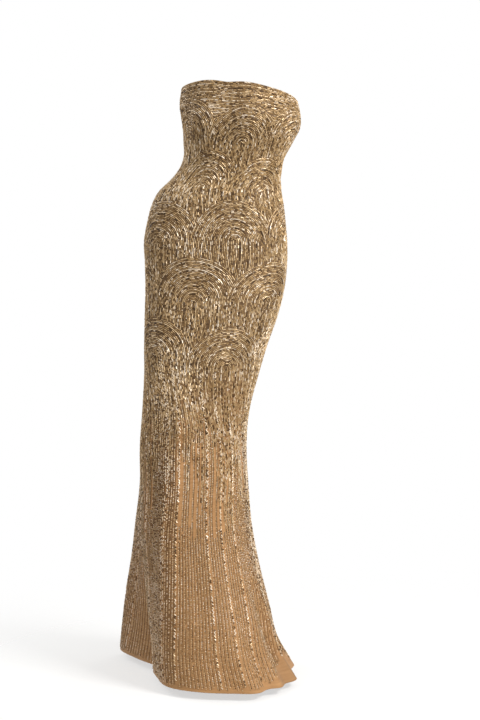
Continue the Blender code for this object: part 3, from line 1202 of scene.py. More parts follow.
@dataclass
class RolledEdge:
    """A narrow rolled edge: a small round profile carried along the cloth's edge."""

    cloth: ClothMap
    radius: float = 1.3
    depth: float = 1.0
    inset: float = 0.8
    sides: int = 8
    step: float = 3.5
    zip_clear: float = 1.2

    def build(self, name: str, height: float, closed: bool, finish: bpy.types.Material) -> Piece:
        """Makes the edge.

        Args:
            name: The piece's name.
            height: The edge's height above the hem, in mm.
            closed: Whether it runs all the way round, or stops on both sides of the zip.
            finish: The cloth's finish.

        Returns:
            The piece.
        """
        end = self.cloth.half_girth - (0 if closed else self.zip_clear)
        lines = np.linspace(-end, end, round(2 * end / self.step) + 1)
        if closed:
            lines = lines[:-1]
        turn = np.linspace(0, 2 * math.pi, self.sides, endpoint=False)
        points = self.rings(lines, np.full(len(lines), height), turn, closed)
        index = np.arange(len(lines) * self.sides).reshape(len(lines), self.sides)
        pairs = slice(None) if closed else slice(None, -1)
        low, high = index[pairs], np.roll(index, -1, axis=0)[pairs]
        quads = [low, high, np.roll(high, -1, axis=1), np.roll(low, -1, axis=1)]
        faces = np.stack(quads, axis=-1).reshape(-1, 4)
        if not closed:
            faces = np.concatenate([faces, self.caps(index[0], index[-1])])
        mesh = make_mesh(name, points.reshape(-1, 3), faces, smooth=True)
        up = np.tile(turn * self.radius + height, len(lines))
        set_uv(mesh, "cloth", np.stack([np.repeat(lines, self.sides), up], axis=1) * MM, faces)
        return add_piece(mesh, "beaded_mesh", finish)

    def rings(self, lines: Array, heights: Array, turn: Array, closed: bool) -> Array:
        """Carries the profile along the edge: a circle square to it at each place.

        Args:
            lines: The places' lines in mm.
            heights: Their heights in mm.
            turn: The profile's angles in radians.
            closed: Whether the last place is followed by the first.

        Returns:
            A ring of points for each place, in metres.
        """
        middle = self.cloth.place(lines, heights, -self.depth)
        out = self.cloth.sample(self.cloth.normals, lines, heights)
        along = unit(np.roll(middle, -1, axis=0) - np.roll(middle, 1, axis=0))
        if not closed:
            along[0], along[-1] = unit(middle[1] - middle[0]), unit(middle[-1] - middle[-2])
        up = unit(np.cross(out, along))
        reach = out[:, None] * np.cos(turn)[:, None] + up[:, None] * np.sin(turn)[:, None]
        return middle[:, None] + reach * self.radius * MM

    def caps(self, first: Array, last: Array) -> Array:
        """Closes the two ends with quads between opposite sides of the profile.

        Args:
            first: The numbers of the first ring's points.
            last: Those of the last ring's.

        Returns:
            The quads.
        """
        near = np.arange(self.sides // 2 - 1)
        quads = np.stack([near, near + 1, self.sides - near - 2, self.sides - near - 1], axis=1)
        return np.concatenate([first[quads], last[quads[:, ::-1]]])


class BeadKind(Enum):
    """What a bead is: a round seed, a glass tube or a flat disc."""

    SEED = "seeds"
    BUGLE = "bugles"
    SEQUIN = "sequins"


def double_cone(sides: int) -> tuple[Array, Array]:
    """Makes a closed double cone: a ring of points with one point above it and one below.

    Args:
        sides: How many points its ring has.

    Returns:
        Its points in half sizes, x along the row, y across it and z out of the cloth, and its
        triangles.
    """
    turn = np.linspace(0, 2 * math.pi, sides, endpoint=False)
    ring = np.stack([np.cos(turn), np.sin(turn), np.zeros(sides)], axis=1)
    points = np.concatenate([ring, [[0, 0, 1], [0, 0, -1]]])
    near = np.arange(sides)
    far = (near + 1) % sides
    top = np.stack([near, far, np.full(sides, sides)], axis=1)
    bottom = np.stack([far, near, np.full(sides, sides + 1)], axis=1)
    return points, np.concatenate([top, bottom])


def short_tube() -> tuple[Array, Array]:
    """Makes a closed four-sided tube along x, with a ridge on top.

    Returns:
        Its points and its triangles, as double_cone gives them.
    """
    turn = np.linspace(0, 2 * math.pi, 4, endpoint=False)
    ring = np.stack([np.zeros(4), np.cos(turn), np.sin(turn)], axis=1)
    points = np.concatenate([ring - [1, 0, 0], ring + [1, 0, 0]])
    near = np.arange(4)
    far = (near + 1) % 4
    sides = [np.stack([near, far, far + 4], axis=1), np.stack([near, far + 4, near + 4], axis=1)]
    caps = np.array([[4, 5, 6], [4, 6, 7], [2, 1, 0], [3, 2, 0]])
    return points, np.concatenate([*sides, caps])


def repeated_mesh(
    name: str, shape: tuple[Array, Array], centres: Array, axes: Array
) -> bpy.types.Mesh:
    """Makes one mesh of many copies of a small shape, each with its own place and axes.

    Args:
        name: The mesh's name.
        shape: The shape's points in half sizes, and its triangles.
        centres: Each copy's middle, in metres.
        axes: Each copy's three axes as rows, as long as its half sizes in metres.

    Returns:
        The mesh.
    """
    points, faces = shape
    placed = centres[:, None] + np.einsum("vk,nkc->nvc", points, axes)
    offset = (np.arange(len(centres)) * len(points))[:, None, None]
    joined = (faces[None] + offset).reshape(-1, 3)
    return make_mesh(name, placed.reshape(-1, 3), joined, smooth=False)


@dataclass(frozen=True)
class BeadBuild:
    """A kind of bead's shape, and how far its copies tilt by chance, in radians.

    roll is the spread of the turn round the row's direction and nod that of the turn up from it.
    """

    shape: tuple[Array, Array]
    roll: float
    nod: float


BEAD_BUILDS = {
    BeadKind.SEED: BeadBuild(double_cone(4), 0.45, 0.25),
    BeadKind.BUGLE: BeadBuild(short_tube(), 0.55, 0.12),
    BeadKind.SEQUIN: BeadBuild(double_cone(6), 0.30, 0.25),
}


@dataclass(frozen=True)
class BeadSort:
    """One sort of bead in a row: its share of the row, its sizes in mm, and its tone's spread."""

    kind: BeadKind
    share: float
    length: float
    width: float
    rise: float
    tone: float
    spread: float = 0.08


@dataclass(frozen=True)
class RowRecipe:
    """What a row of beads is made of, at random from its sorts.

    gap is the room between two beads in mm, missing the share that is left out, and zigzag how
    far each bead turns from the row, to one side and the other by turns, in radians.
    """

    sorts: tuple[BeadSort, ...]
    gap: float = 0.35
    missing: float = 0.03
    zigzag: float = 0.0


class RowStyle(Enum):
    """The kinds of rows on the gown, each with its recipe.

    BRIGHT, GOLD, CHAMPAGNE and BRONZE make up the arches and the close rows above the skirt. FINE
    is the skirt's own row, and DARK, a row of dark beads beside it, is its painted shadow. BAND and
    THREAD lie by turns in the denser bands, and BOLD is the zigzag of tubes.
    """

    # kind, share, length, width, rise, tone, spread
    BRIGHT = RowRecipe((
        BeadSort(BeadKind.BUGLE, 0.58, 7.0, 2.6, 2.1, 0.80, 0.13),
        BeadSort(BeadKind.SEED, 0.36, 2.9, 2.8, 2.2, 0.72, 0.22),
        BeadSort(BeadKind.SEQUIN, 0.06, 3.4, 3.2, 0.8, 0.86),
    ))
    GOLD = RowRecipe((
        BeadSort(BeadKind.BUGLE, 0.46, 6.4, 2.5, 1.9, 0.52, 0.18),
        BeadSort(BeadKind.SEED, 0.54, 2.9, 2.8, 2.2, 0.48, 0.18),
    ))
    CHAMPAGNE = RowRecipe((
        BeadSort(BeadKind.BUGLE, 0.48, 6.6, 2.5, 1.9, 0.66, 0.18),
        BeadSort(BeadKind.SEED, 0.52, 2.9, 2.7, 2.1, 0.62, 0.22),
    ))
    BRONZE = RowRecipe((
        BeadSort(BeadKind.SEED, 0.42, 2.9, 2.7, 2.1, 0.42, 0.24),
        BeadSort(BeadKind.BUGLE, 0.24, 5.0, 2.5, 1.9, 0.10, 0.08),
        BeadSort(BeadKind.BUGLE, 0.34, 6.4, 2.4, 1.9, 0.72, 0.16),
    ))
    FINE = RowRecipe((
        BeadSort(BeadKind.SEED, 0.80, 3.3, 2.7, 2.1, 0.86, 0.12),
        BeadSort(BeadKind.SEED, 0.20, 3.3, 2.6, 1.9, 0.58, 0.12),
    ), gap=0.6, missing=0.02)
    # Painted shadow: dark beads laid beside each fine line of the skirt, where that line's shadow
    # falls.
    DARK = RowRecipe((
        BeadSort(BeadKind.SEED, 1.0, 7.0, 2.6, 1.4, 0.16, 0.05),
    ), gap=-1.6, missing=0.02)
    THREAD = RowRecipe((
        BeadSort(BeadKind.SEED, 1.0, 4.8, 2.2, 1.7, 0.12, 0.05),
    ), gap=-0.4, missing=0.01)
    BAND = RowRecipe((
        BeadSort(BeadKind.SEED, 0.72, 3.2, 3.2, 2.4, 0.83, 0.12),
        BeadSort(BeadKind.SEED, 0.28, 3.0, 3.0, 2.1, 0.12, 0.06),
    ), gap=0.2, missing=0.02)
    BOLD = RowRecipe((
        BeadSort(BeadKind.BUGLE, 0.58, 5.4, 2.4, 2.1, 0.93, 0.08),
        BeadSort(BeadKind.BUGLE, 0.24, 4.6, 2.8, 2.1, 0.10, 0.07),
        BeadSort(BeadKind.SEED, 0.18, 2.9, 2.8, 2.3, 0.66, 0.20),
    ), gap=-1.3, missing=0.12, zigzag=0.72)


# Arches of concentric rows, in tiers from the bust down. Each lies over the ones above it, like
# scales, and its rows run on down from its two sides. In mm of line, height and outer radius.
ARCHES = np.array([
    # line, height, radius
    (-70, 1272, 86),
    (88, 1256, 92),
    (-232, 1262, 82),
    (244, 1276, 84),
    (-380, 1268, 78),
    (384, 1250, 74),
    (6, 1150, 92),
    (-158, 1160, 82),
    (166, 1142, 84),
    (-312, 1152, 80),
    (318, 1158, 86),
    (-410, 1140, 66),
    (-86, 1020, 100),
    (92, 1030, 94),
    (-248, 1016, 92),
    (256, 1022, 96),
    (-396, 1008, 82),
    (8, 884, 106),
    (-170, 892, 92),
    (178, 888, 92),
    (-330, 880, 90),
    (338, 884, 92),
    (-82, 752, 96),
    (98, 734, 92),
    (-244, 742, 92),
    (262, 748, 92),
    (-400, 738, 86),
], float)

# The skirt's denser bands, where light and dark rows lie at even steps, in mm of line: first and
# last.
BANDS = ((-112, -38), (-262, -226), (150, 192), (236, 262), (-352, -330), (344, 372))

# The styles of rows that follow each other inwards in an arch, down from the neckline, and round
# the gown where the close rows fade out.
ARCH_CYCLE = (RowStyle.CHAMPAGNE, RowStyle.GOLD, RowStyle.BRIGHT, RowStyle.BRONZE, RowStyle.GOLD)
GROUND_CYCLE = (RowStyle.CHAMPAGNE, RowStyle.GOLD, RowStyle.BRIGHT, RowStyle.GOLD, RowStyle.BRONZE)
FADING_CYCLE = (RowStyle.CHAMPAGNE, RowStyle.BRONZE, RowStyle.GOLD)

# What owns a path that isn't part of an arch: the rows that fill between arches, or the skirt.
GROUND = -1
SKIRT = -2


@dataclass
class Strands:
    """Many paths over the cloth, each with the style of the beads along it.

    points holds each path's places as rows of line and height in mm, in the pattern's own
    unswayed measure. owner is the number of the arch that a path belongs to, or GROUND or SKIRT.
    """

    points: list[Array] = field(default_factory=list)
    styles: list[RowStyle] = field(default_factory=list)
    owners: list[int] = field(default_factory=list)

    def add(
        self, lines: Array | float, heights: Array | float, style: RowStyle, owner: int
    ) -> None:
        """Adds a path.

        Args:
            lines: Its lines in mm, or the one that it keeps to.
            heights: Its heights in mm, or the one that it keeps to.
            style: What its beads are.
            owner: The number of its arch, or GROUND or SKIRT.
        """
        self.points.append(np.stack(np.broadcast_arrays(lines, heights), axis=1))
        self.styles.append(style)
        self.owners.append(owner)


@dataclass
class Beads:
    """Placed beads of every kind, as arrays with one entry for each bead.

    line and height are in mm on the cloth, and centre and the half sizes in metres. along is the
    bead's length's direction and out the cloth's.
    """

    line: Array
    height: Array
    centre: Array
    along: Array
    out: Array
    half: Array
    tone: Array
    kind: Array


@dataclass
class RowPattern:
    """Where the rows of beads run: arches above, fine lines, bands and zigzags on the skirt.

    rows_around is how many close rows fit round the gown, and lines_around how many of the
    skirt's. Names that end in ragged or spread say how far chance moves a height in mm, and
    powers how a share grows.
    """

    cloth: ClothMap
    random: np.random.Generator
    start_seed: int = 44
    rows_around: int = 228
    lines_around: int = 146
    path_step: float = 1.2
    sway: float = 36
    sway_foot: float = 470
    sway_head: float = 790
    trail: float = 48
    trail_power: float = 1.2
    long_ripple: tuple[float, float] = (5, 74.0)
    short_ripple: tuple[float, float] = (4, 41.0)
    ripple_slant: float = 66.0
    calm_foot: float = 300
    calm_head: float = 600
    ground_head_clear: float = 1.8
    ground_foot: float = 1150
    ground_overlap: float = 4
    skirt_start: float = 632
    skirt_start_spread: float = 78
    start_cell: float = 62
    even_power: int = 8
    start_drop: float = 20
    start_ragged: float = 60
    fade_spread: float = 240
    fade_power: float = 0.9
    late_start: float = 460
    late_spread: float = 130
    bold_every: int = 6
    bold_number: int = 2
    bold_rise: float = 150
    # How far beside each fine line its painted shadow, the row of dark beads, runs, in mm.
    shadow_beside: float = 2.1
    hem_clear: float = 3.6
    hem_ragged: float = 2
    bold_hem_ragged: float = 12
    bare_line: float = 194
    bare_reach: float = 50
    bare_height: float = 72
    bare_spread: tuple[float, float] = (0.7, 1.1)
    arch_room: float = 0.6
    fewest_arch_steps: int = 6
    fewest_steps: int = 4

    def __post_init__(self) -> None:
        """Works out the rows' pitch and snaps the arches to it, so that their sides line up."""
        self.girth = 2 * self.cloth.half_girth
        self.pitch = self.girth / self.rows_around
        self.arches = ARCHES.copy()
        self.arches[:, [0, 2]] = np.round(self.arches[:, [0, 2]] / self.pitch) * self.pitch

    def cloth_line(self, line: Array, height: Array) -> Array:
        """Finds where the pattern's line lies on the cloth.

        It sways aside above the knee by a smoothstep, trails off below it by a power, and has
        two sine ripples that calm down towards the hem.

        Args:
            line: Lines in the pattern, in mm.
            height: Heights, in mm.

        Returns:
            Lines on the cloth, in mm.
        """
        share = np.clip((height - self.sway_foot) / (self.sway_head - self.sway_foot), 0, 1)
        low = np.clip(1 - height / self.sway_foot, 0, 1)
        aside = self.sway * ease(share) + self.trail * low**self.trail_power
        (wide, long), (narrow, short) = self.long_ripple, self.short_ripple
        ripple = wide * np.sin(height / long)
        ripple = ripple + narrow * np.sin(height / short + line / self.ripple_slant)
        calm = np.clip((height - self.calm_foot) / (self.calm_head - self.calm_foot), 0, 1)
        return self.cloth.wrapped(line - aside + ripple * calm)

    def skirt_top(self, line: Array) -> Array:
        """Finds the height where the arches' rows give way to the skirt's lines.

        It goes up and down by a smooth noise, which is even where both sides meet at the back.

        Args:
            line: Lines in the pattern, in mm.

        Returns:
            The heights, in mm.
        """
        waves = soft_noise(line + self.girth, line * 0, self.start_cell, self.start_seed)
        evened = (np.abs(line) / self.cloth.half_girth) ** self.even_power
        waves = waves * (1 - evened) + 0.5 * evened
        return self.skirt_start + (waves - 0.5) * 2 * self.skirt_start_spread

    def add_arches(self, strands: Strands) -> None:
        """Adds the rows of every arch: up its left side, over a half circle, down its right.

        Args:
            strands: Where the paths go.
        """
        for owner, (middle, height, outer) in enumerate(self.arches):
            rise = np.arange(self.skirt_start - self.skirt_start_spread, height, self.path_step)
            for row in range(round(outer / self.pitch)):
                radius = outer - row * self.pitch
                steps = max(self.fewest_arch_steps, round(math.pi * radius / self.path_step))
                turn = np.linspace(math.pi, 0, steps)
                left = np.full(len(rise), middle - radius)
                right = np.full(len(rise), middle + radius)
                lines = np.concatenate([left, middle + radius * np.cos(turn), right])
                heights = np.concatenate([rise, height + radius * np.sin(turn), rise[::-1]])
                strands.add(lines, heights, ARCH_CYCLE[row % len(ARCH_CYCLE)], owner)
            strands.add(middle, rise, RowStyle.BRONZE, owner)

    def add_ground(self, strands: Strands) -> None:
        """Adds the rows that follow the neckline and fill what the arches leave.

        Args:
            strands: Where the paths go.
        """
        end = self.girth / 2 + self.ground_overlap
        lines = np.arange(-self.girth / 2, end, self.path_step)
        head = self.cloth.form.length - self.ground_head_clear
        for row, height in enumerate(np.arange(head, self.ground_foot, -self.pitch)):
            strands.add(lines, height, GROUND_CYCLE[row % len(GROUND_CYCLE)], GROUND)

    def add_fading_rows(self, strands: Strands) -> None:
        """Adds the close rows that run on below the arches and end one by one.

        Args:
            strands: Where the paths go.
        """
        lines = np.arange(self.rows_around) * self.pitch - self.girth / 2
        tops = self.skirt_top(lines)
        fade = self.random.random(len(lines)) ** self.fade_power * self.fade_spread
        for row, (line, top, end) in enumerate(zip(lines, tops, tops - self.start_drop - fade)):
            self.add_upright(strands, line, top, end, FADING_CYCLE[row % len(FADING_CYCLE)])

    def add_skirt_rows(self, strands: Strands) -> None:
        """Adds the skirt's own lines to the hem.

        Lines in a band, and every second one elsewhere, start at the skirt's top, the others
        further down. Every few lines comes a bold zigzag, and beside each other line a row of dark
        beads that paints its shadow.

        Args:
            strands: Where the paths go.
        """
        number = np.arange(self.lines_around)
        lines = number * self.girth / self.lines_around - self.girth / 2
        banded = np.zeros(len(lines), bool)
        for first, last in BANDS:
            banded |= (lines > first) & (lines < last)
        ragged = self.random.random(len(lines)) * self.start_ragged
        tops = self.skirt_top(lines) - self.start_drop - ragged
        late = self.late_start + self.random.uniform(-1, 1, len(lines)) * self.late_spread
        starts = np.where((number % 2 == 1) & ~banded, late, tops)
        # About a third of the numbers go down by one, so that the zigzags' steps are uneven.
        shuffled = number + self.random.integers(-1, 2, len(lines)) // 2
        bold = shuffled % self.bold_every == self.bold_number
        for line, top, start, in_band, is_bold in zip(lines, tops, starts, banded, bold):
            ragged = self.bold_hem_ragged if is_bold else self.hem_ragged
            hem = self.hem_end(line) + self.random.random() * ragged
            if is_bold:
                self.add_upright(strands, line, top + self.bold_rise, hem, RowStyle.BOLD)
                continue
            # Beside a fine line runs a row of dark beads that paints its shadow.
            own, other = RowStyle.FINE, RowStyle.DARK
            beside = self.shadow_beside
            if in_band:
                own, other = RowStyle.BAND, RowStyle.THREAD
                beside = self.girth / self.lines_around / 2
            self.add_upright(strands, line, start, hem, own)
            self.add_upright(strands, line + beside, start, hem, other)

    def hem_end(self, line: float) -> float:
        """Finds how high above the hem a line's beads end: one corner of the hem is left plain."""
        bare = self.bare_height * bell((line - self.bare_line) / self.bare_reach)
        return self.hem_clear + bare * self.random.uniform(*self.bare_spread)

    def add_upright(
        self, strands: Strands, line: float, start: float, end: float, style: RowStyle
    ) -> None:
        """Adds one row that runs down a line of the pattern, unless it's too short for a bead.

        Args:
            strands: Where the path goes.
            line: Its line, in mm.
            start: Its upper end, in mm.
            end: Its lower end, in mm.
            style: What its beads are.
        """
        heights = np.arange(start, end, -self.path_step)
        if len(heights) >= self.fewest_steps:
            strands.add(line, heights, style, SKIRT)

    def strands(self) -> Strands:
        """Draws all the rows.

        Returns:
            The paths.
        """
        strands = Strands()
        self.add_ground(strands)
        self.add_arches(strands)
        self.add_fading_rows(strands)
        self.add_skirt_rows(strands)
        return strands

    def covered(self, line: Array, height: Array, owner: Array) -> Array:
        """Finds which places are hidden under an arch that lies over their own.

        Args:
            line: Each place's line in the pattern.
            height: Its height.
            owner: The number of its own arch, or GROUND or SKIRT.

        Returns:
            True where another arch lies on top.
        """
        hidden = np.zeros(len(line), bool)
        for number, (middle, top, radius) in enumerate(self.arches):
            aside = np.abs(self.cloth.wrapped(line - middle))
            reach = np.where(height > top, np.hypot(aside, height - top), aside)
            hidden |= (reach < radius + self.pitch * self.arch_room) & (owner < number)
        return hidden


@dataclass
class Beadwork:
    """The beads themselves, threaded along the pattern's rows and set on the cloth.

    chord is the share of a bead's length from its middle at which its row's direction is read,
    and seat the share of its rise that its middle lies above the cloth. Beads that rise less
    than flat_rise don't show among the rows above the skirt. Two smooth noises make stretches
    silvery and places glint, and dark beads on the skirt get paler towards the hem.
    """

    cloth: ClothMap
    seed: int = 41
    length_spread: tuple[float, float] = (0.86, 1.12)
    chord: float = 0.4
    seat: float = 0.42
    turn_spread: float = 0.05
    flat_rise: float = 1.6
    silver_seed: int = 48
    silver_cell: float = 95
    silver_weight: float = 0.16
    glint_seed: int = 52
    glint_cell: float = 24
    glint_weight: float = 0.22
    noise_shift: float = 900
    uneven_slope: float = 3.0
    uneven_start: float = 0.3
    least_uneven: float = 0.15
    dark_tone: float = 0.25
    dark_lift: float = 0.10
    dark_lift_head: float = 430
    zip_clear: float = 1.9
    slider_clear: float = 4.0
    slider_foot: float = 1346
    bodice_foot: float = 1085
    hip_foot: float = 780

    def __post_init__(self) -> None:
        """Starts the chance that the pattern and the beads share."""
        self.random = np.random.default_rng(self.seed)
        self.pattern = RowPattern(self.cloth, self.random)

    def string(self, strands: Strands) -> Beads:
        """Threads beads along every path.

        Each path's real length is measured on the cloth, its beads follow each other along it,
        and those under a later arch, past the skirt's top or on the zip are left out.

        Args:
            strands: The paths.

        Returns:
            The beads.
        """
        ends = np.cumsum([len(points) for points in strands.points])
        line, height = np.concatenate(strands.points).T
        on_cloth = self.cloth.place(self.pattern.cloth_line(line, height), height) / MM
        parts = [
            self.string_one(path, places, style.value, owner)
            for path, places, style, owner in zip(
                strands.points, np.split(on_cloth, ends[:-1]), strands.styles, strands.owners
            )
        ]
        joined = {name: np.concatenate([part[name] for part in parts]) for name in parts[0]}
        return self.settle(joined)

    def string_one(
        self, path: Array, places: Array, recipe: RowRecipe, owner: int
    ) -> dict[str, Array]:
        """Threads one path: which bead comes where along it.

        Args:
            path: The path's lines and heights.
            places: The same points on the cloth, in mm.
            recipe: What the row is made of.
            owner: The path's arch, or GROUND or SKIRT.

        Returns:
            Arrays with one entry for each bead.
        """
        steps = np.linalg.norm(np.diff(places, axis=0), axis=1)
        travelled = np.concatenate([[0], np.cumsum(steps)])
        sorts = recipe.sorts
        lengths = np.array([sort.length for sort in sorts])
        count = int(travelled[-1] / (lengths.min() + recipe.gap)) + 2
        shares = np.array([sort.share for sort in sorts])
        chosen = self.random.choice(len(sorts), size=count, p=shares / shares.sum())
        long = lengths[chosen] * self.random.uniform(*self.length_spread, count)
        ends = np.cumsum(long + recipe.gap)
        kept = (ends < travelled[-1]) & (self.random.random(count) >= recipe.missing)
        middle, long, chosen = (ends - long / 2)[kept], long[kept], chosen[kept]
        beads: dict[str, Array] = {"long": long, "owner": np.full(len(middle), owner)}
        for name, share in (("back", -self.chord), ("middle", 0.0), ("ahead", self.chord)):
            beads[f"{name}_line"] = np.interp(middle + share * long, travelled, path[:, 0])
            beads[f"{name}_height"] = np.interp(middle + share * long, travelled, path[:, 1])
        for name in ("width", "rise", "tone", "spread"):
            beads[name] = np.array([getattr(sort, name) for sort in sorts])[chosen]
        beads["kind"] = np.array([list(BeadKind).index(sort.kind) for sort in sorts])[chosen]
        sides = np.where(np.arange(len(middle)) % 2 == 0, 1.0, -1.0)
        chance = self.random.normal(0, self.turn_spread, len(middle))
        beads["turn"] = recipe.zigzag * sides + chance
        return beads

    def settle(self, given: dict[str, Array]) -> Beads:
        """Drops the beads that don't show, and sets the rest on the cloth.

        Args:
            given: What string_one gives, for all paths together.

        Returns:
            The beads.
        """
        shown = self.shown(given)
        given = {name: values[shown] for name, values in given.items()}
        lines = self.lines_on_cloth(given)
        back = self.cloth.place(lines["back"], given["back_height"])
        ahead = self.cloth.place(lines["ahead"], given["ahead_height"])
        line, height = lines["middle"], given["middle_height"]
        centre = self.cloth.place(line, height, given["rise"] * self.seat)
        out = self.cloth.sample(self.cloth.normals, line, height)
        along = unit(ahead - back)
        turn = given["turn"][:, None]
        along = unit(along * np.cos(turn) + unit(np.cross(out, along)) * np.sin(turn))
        half = np.stack([given["long"], given["width"], given["rise"]], axis=1) * MM / 2
        tone = self.tones(given, line)
        return Beads(line, height, centre, along, out, half, tone, given["kind"])

    def lines_on_cloth(self, given: dict[str, Array]) -> dict[str, Array]:
        """Finds the cloth's lines behind, at and ahead of each bead's middle.

        Args:
            given: What string_one gives.

        Returns:
            The lines in mm, by part.
        """
        return {
            part: self.pattern.cloth_line(given[f"{part}_line"], given[f"{part}_height"])
            for part in ("back", "middle", "ahead")
        }

    def shown(self, given: dict[str, Array]) -> Array:
        """Finds the beads that no arch hides, that fit their row's stretch and clear the zip.

        Args:
            given: What string_one gives, for all paths together.

        Returns:
            True for those beads.
        """
        line, height, owner = given["middle_line"], given["middle_height"], given["owner"]
        on_skirt = owner == SKIRT
        above = height > self.pattern.skirt_top(self.cloth.wrapped(line))
        crowded = (given["rise"] < self.flat_rise) & above
        hidden = self.pattern.covered(line, height, owner)
        clear = np.where(height > self.slider_foot, self.slider_clear, self.zip_clear)
        furthest = np.abs(list(self.lines_on_cloth(given).values())).max(axis=0)
        over_zip = furthest > self.cloth.half_girth - clear
        return np.where(on_skirt, ~crowded, above & ~hidden) & ~over_zip

    def tones(self, given: dict[str, Array], line: Array) -> Array:
        """Finds each bead's tone, from 0, dark bronze, to 1, silver.

        It is its sort's tone plus chance and the two noises, which move pale beads most.

        Args:
            given: What string_one gives, for the beads that show.
            line: Their lines on the cloth, in mm.

        Returns:
            The tones.
        """
        height, plain = given["middle_height"], given["tone"]
        shifted = line + self.noise_shift
        silver = soft_noise(shifted, height, self.silver_cell, self.silver_seed) - 0.5
        glints = soft_noise(shifted, height, self.glint_cell, self.glint_seed) - 0.5
        uneven = self.silver_weight * silver + self.glint_weight * glints
        tone = plain + given["spread"] * self.random.normal(0, 1, len(line))
        pale = np.clip(plain * self.uneven_slope - self.uneven_start, self.least_uneven, 1)
        tone = tone + uneven * pale
        dark = (given["owner"] == SKIRT) & (plain < self.dark_tone)
        paler = self.dark_lift * np.clip(1 - height / self.dark_lift_head, 0, 1)
        return np.clip(tone + dark * paler, 0, 1)

    def bead_mesh(self, name: str, beads: Beads, chosen: Array, kind: BeadKind) -> bpy.types.Mesh:
        """Makes one mesh of many beads of a kind, each tilted a little by chance.

        Args:
            name: The mesh's name.
            beads: All beads.
            chosen: The numbers of those that go into the mesh.
            kind: Their kind.

        Returns:
            The mesh, with each bead's tone on its points.
        """
        build = BEAD_BUILDS[kind]
        along = beads.along[chosen]
        across = unit(np.cross(beads.out[chosen], along))
        out = np.cross(along, across)
        roll = self.random.normal(0, build.roll, len(chosen))[:, None]
        nod = self.random.normal(0, build.nod, len(chosen))[:, None]
        across, out = turned(across, out, roll)
        along, out = turned(along, out, nod)
        axes = np.stack([along, across, out], axis=1) * beads.half[chosen][:, :, None]
        mesh = repeated_mesh(name, build.shape, beads.centre[chosen], axes)
        tone = mesh.attributes.new("tone", "FLOAT", "POINT")
        on_points = np.repeat(beads.tone[chosen], len(build.shape[0]))
        tone.data.foreach_set("value", on_points.astype(np.float32))
        return mesh

    def build(self, finishes: dict[BeadKind, bpy.types.Material]) -> None:
        """Makes all the beads, as one piece for each kind, panel and stretch of height.

        Args:
            finishes: The finish of each kind.
        """
        beads = self.string(self.pattern.strands())
        seam = self.cloth.front_half
        sides = {
            Side.FRONT: np.abs(beads.line) <= seam,
            Side.BACK_LEFT: beads.line < -seam,
            Side.BACK_RIGHT: beads.line > seam,
        }
        on_bodice = beads.height >= self.bodice_foot
        on_skirt = beads.height < self.hip_foot
        stretches = {"bodice": on_bodice, "hip": ~on_bodice & ~on_skirt, "skirt": on_skirt}
        for (side, on_side), (stretch, at_height) in product(sides.items(), stretches.items()):
            for number, kind in enumerate(BeadKind):
                chosen = np.flatnonzero(on_side & at_height & (beads.kind == number))
                if len(chosen):
                    name = f"{side.value}_{stretch}_{kind.value}"
                    mesh = self.bead_mesh(name, beads, chosen, kind)
                    add_piece(mesh, "beaded_mesh", finishes[kind])


@dataclass
class Zip:
    """The concealed zip: two tapes and a coil inside the centre back, with its metal slider."""

    cloth: ClothMap
    foot: float = 904
    head: float = 1396
    tape_width: float = 12
    tape_depth: float = 2.3
    tape_wall: float = 0.8
    tape_columns: int = 5
    tape_rows: int = 80
    slot: float = 0.9
    tooth_pitch: float = 1.6
    tooth_long: float = 3.4
    tooth_thick: float = 0.9
    tooth_sunk: float = 0.6
    coil_foot: float = 908
    coil_head: float = 1376
    seam_clear: float = 0.001

    def build_tape(self, side: Side, finish: bpy.types.Material) -> Piece:
        """Makes one tape, in place of its solid.

        Args:
            side: The back panel that it is sewn to.
            finish: The tape's finish.

        Returns:
            The piece.
        """
        sign = -1 if side is Side.BACK_LEFT else 1
        whole = self.cloth.half_girth
        edge = np.linspace(whole - self.tape_width, whole - self.slot, self.tape_columns) * sign
        levels = np.linspace(self.foot, self.head, self.tape_rows)
        lines, heights = np.meshgrid(np.sort(edge), levels)
        name = "zip_tape_left" if sign < 0 else "zip_tape_right"
        back = -self.tape_depth - self.tape_wall
        mesh = self.cloth.wall(f"{name}_cloth", lines, heights, -self.tape_depth, back)
        piece = add_piece(mesh, "zip_tape", finish, finish)
        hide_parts(name)
        return piece

    def build_coil(self, finish: bpy.types.Material) -> None:
        """Makes the coil's turns across the slot, as short tubes at even steps.

        Args:
            finish: The coil's finish.
        """
        heights = np.arange(self.coil_foot, self.coil_head, self.tooth_pitch)
        edge = np.full(len(heights), self.cloth.half_girth - self.seam_clear)
        depth = -self.tape_depth - self.tape_wall - self.tooth_thick * self.tooth_sunk
        left = self.cloth.place(-edge, heights, depth)
        right = self.cloth.place(edge, heights, depth)
        out = self.cloth.sample(self.cloth.normals, edge, heights)
        up = unit(np.gradient(left, axis=0))
        across = unit(np.cross(up, out))
        half = np.array([self.tooth_long, self.tooth_thick, self.tooth_thick]) * MM / 2
        axes = np.stack([across, up, np.cross(across, up)], axis=1) * half[:, None]
        mesh = repeated_mesh("zip_coil", short_tube(), (left + right) / 2, axes)
        add_piece(mesh, "zip_tape", finish)

    def dress_metal(self, finish: bpy.types.Material) -> None:
        """Gives the slider and its pull tab their plating.

        Args:
            finish: The plating.
        """
        for name in ("zip_slider", "zip_pull_tab"):
            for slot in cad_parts[name].material_slots:
                slot.material = finish
            log.info("%s: finished in %s", name, finish.name)


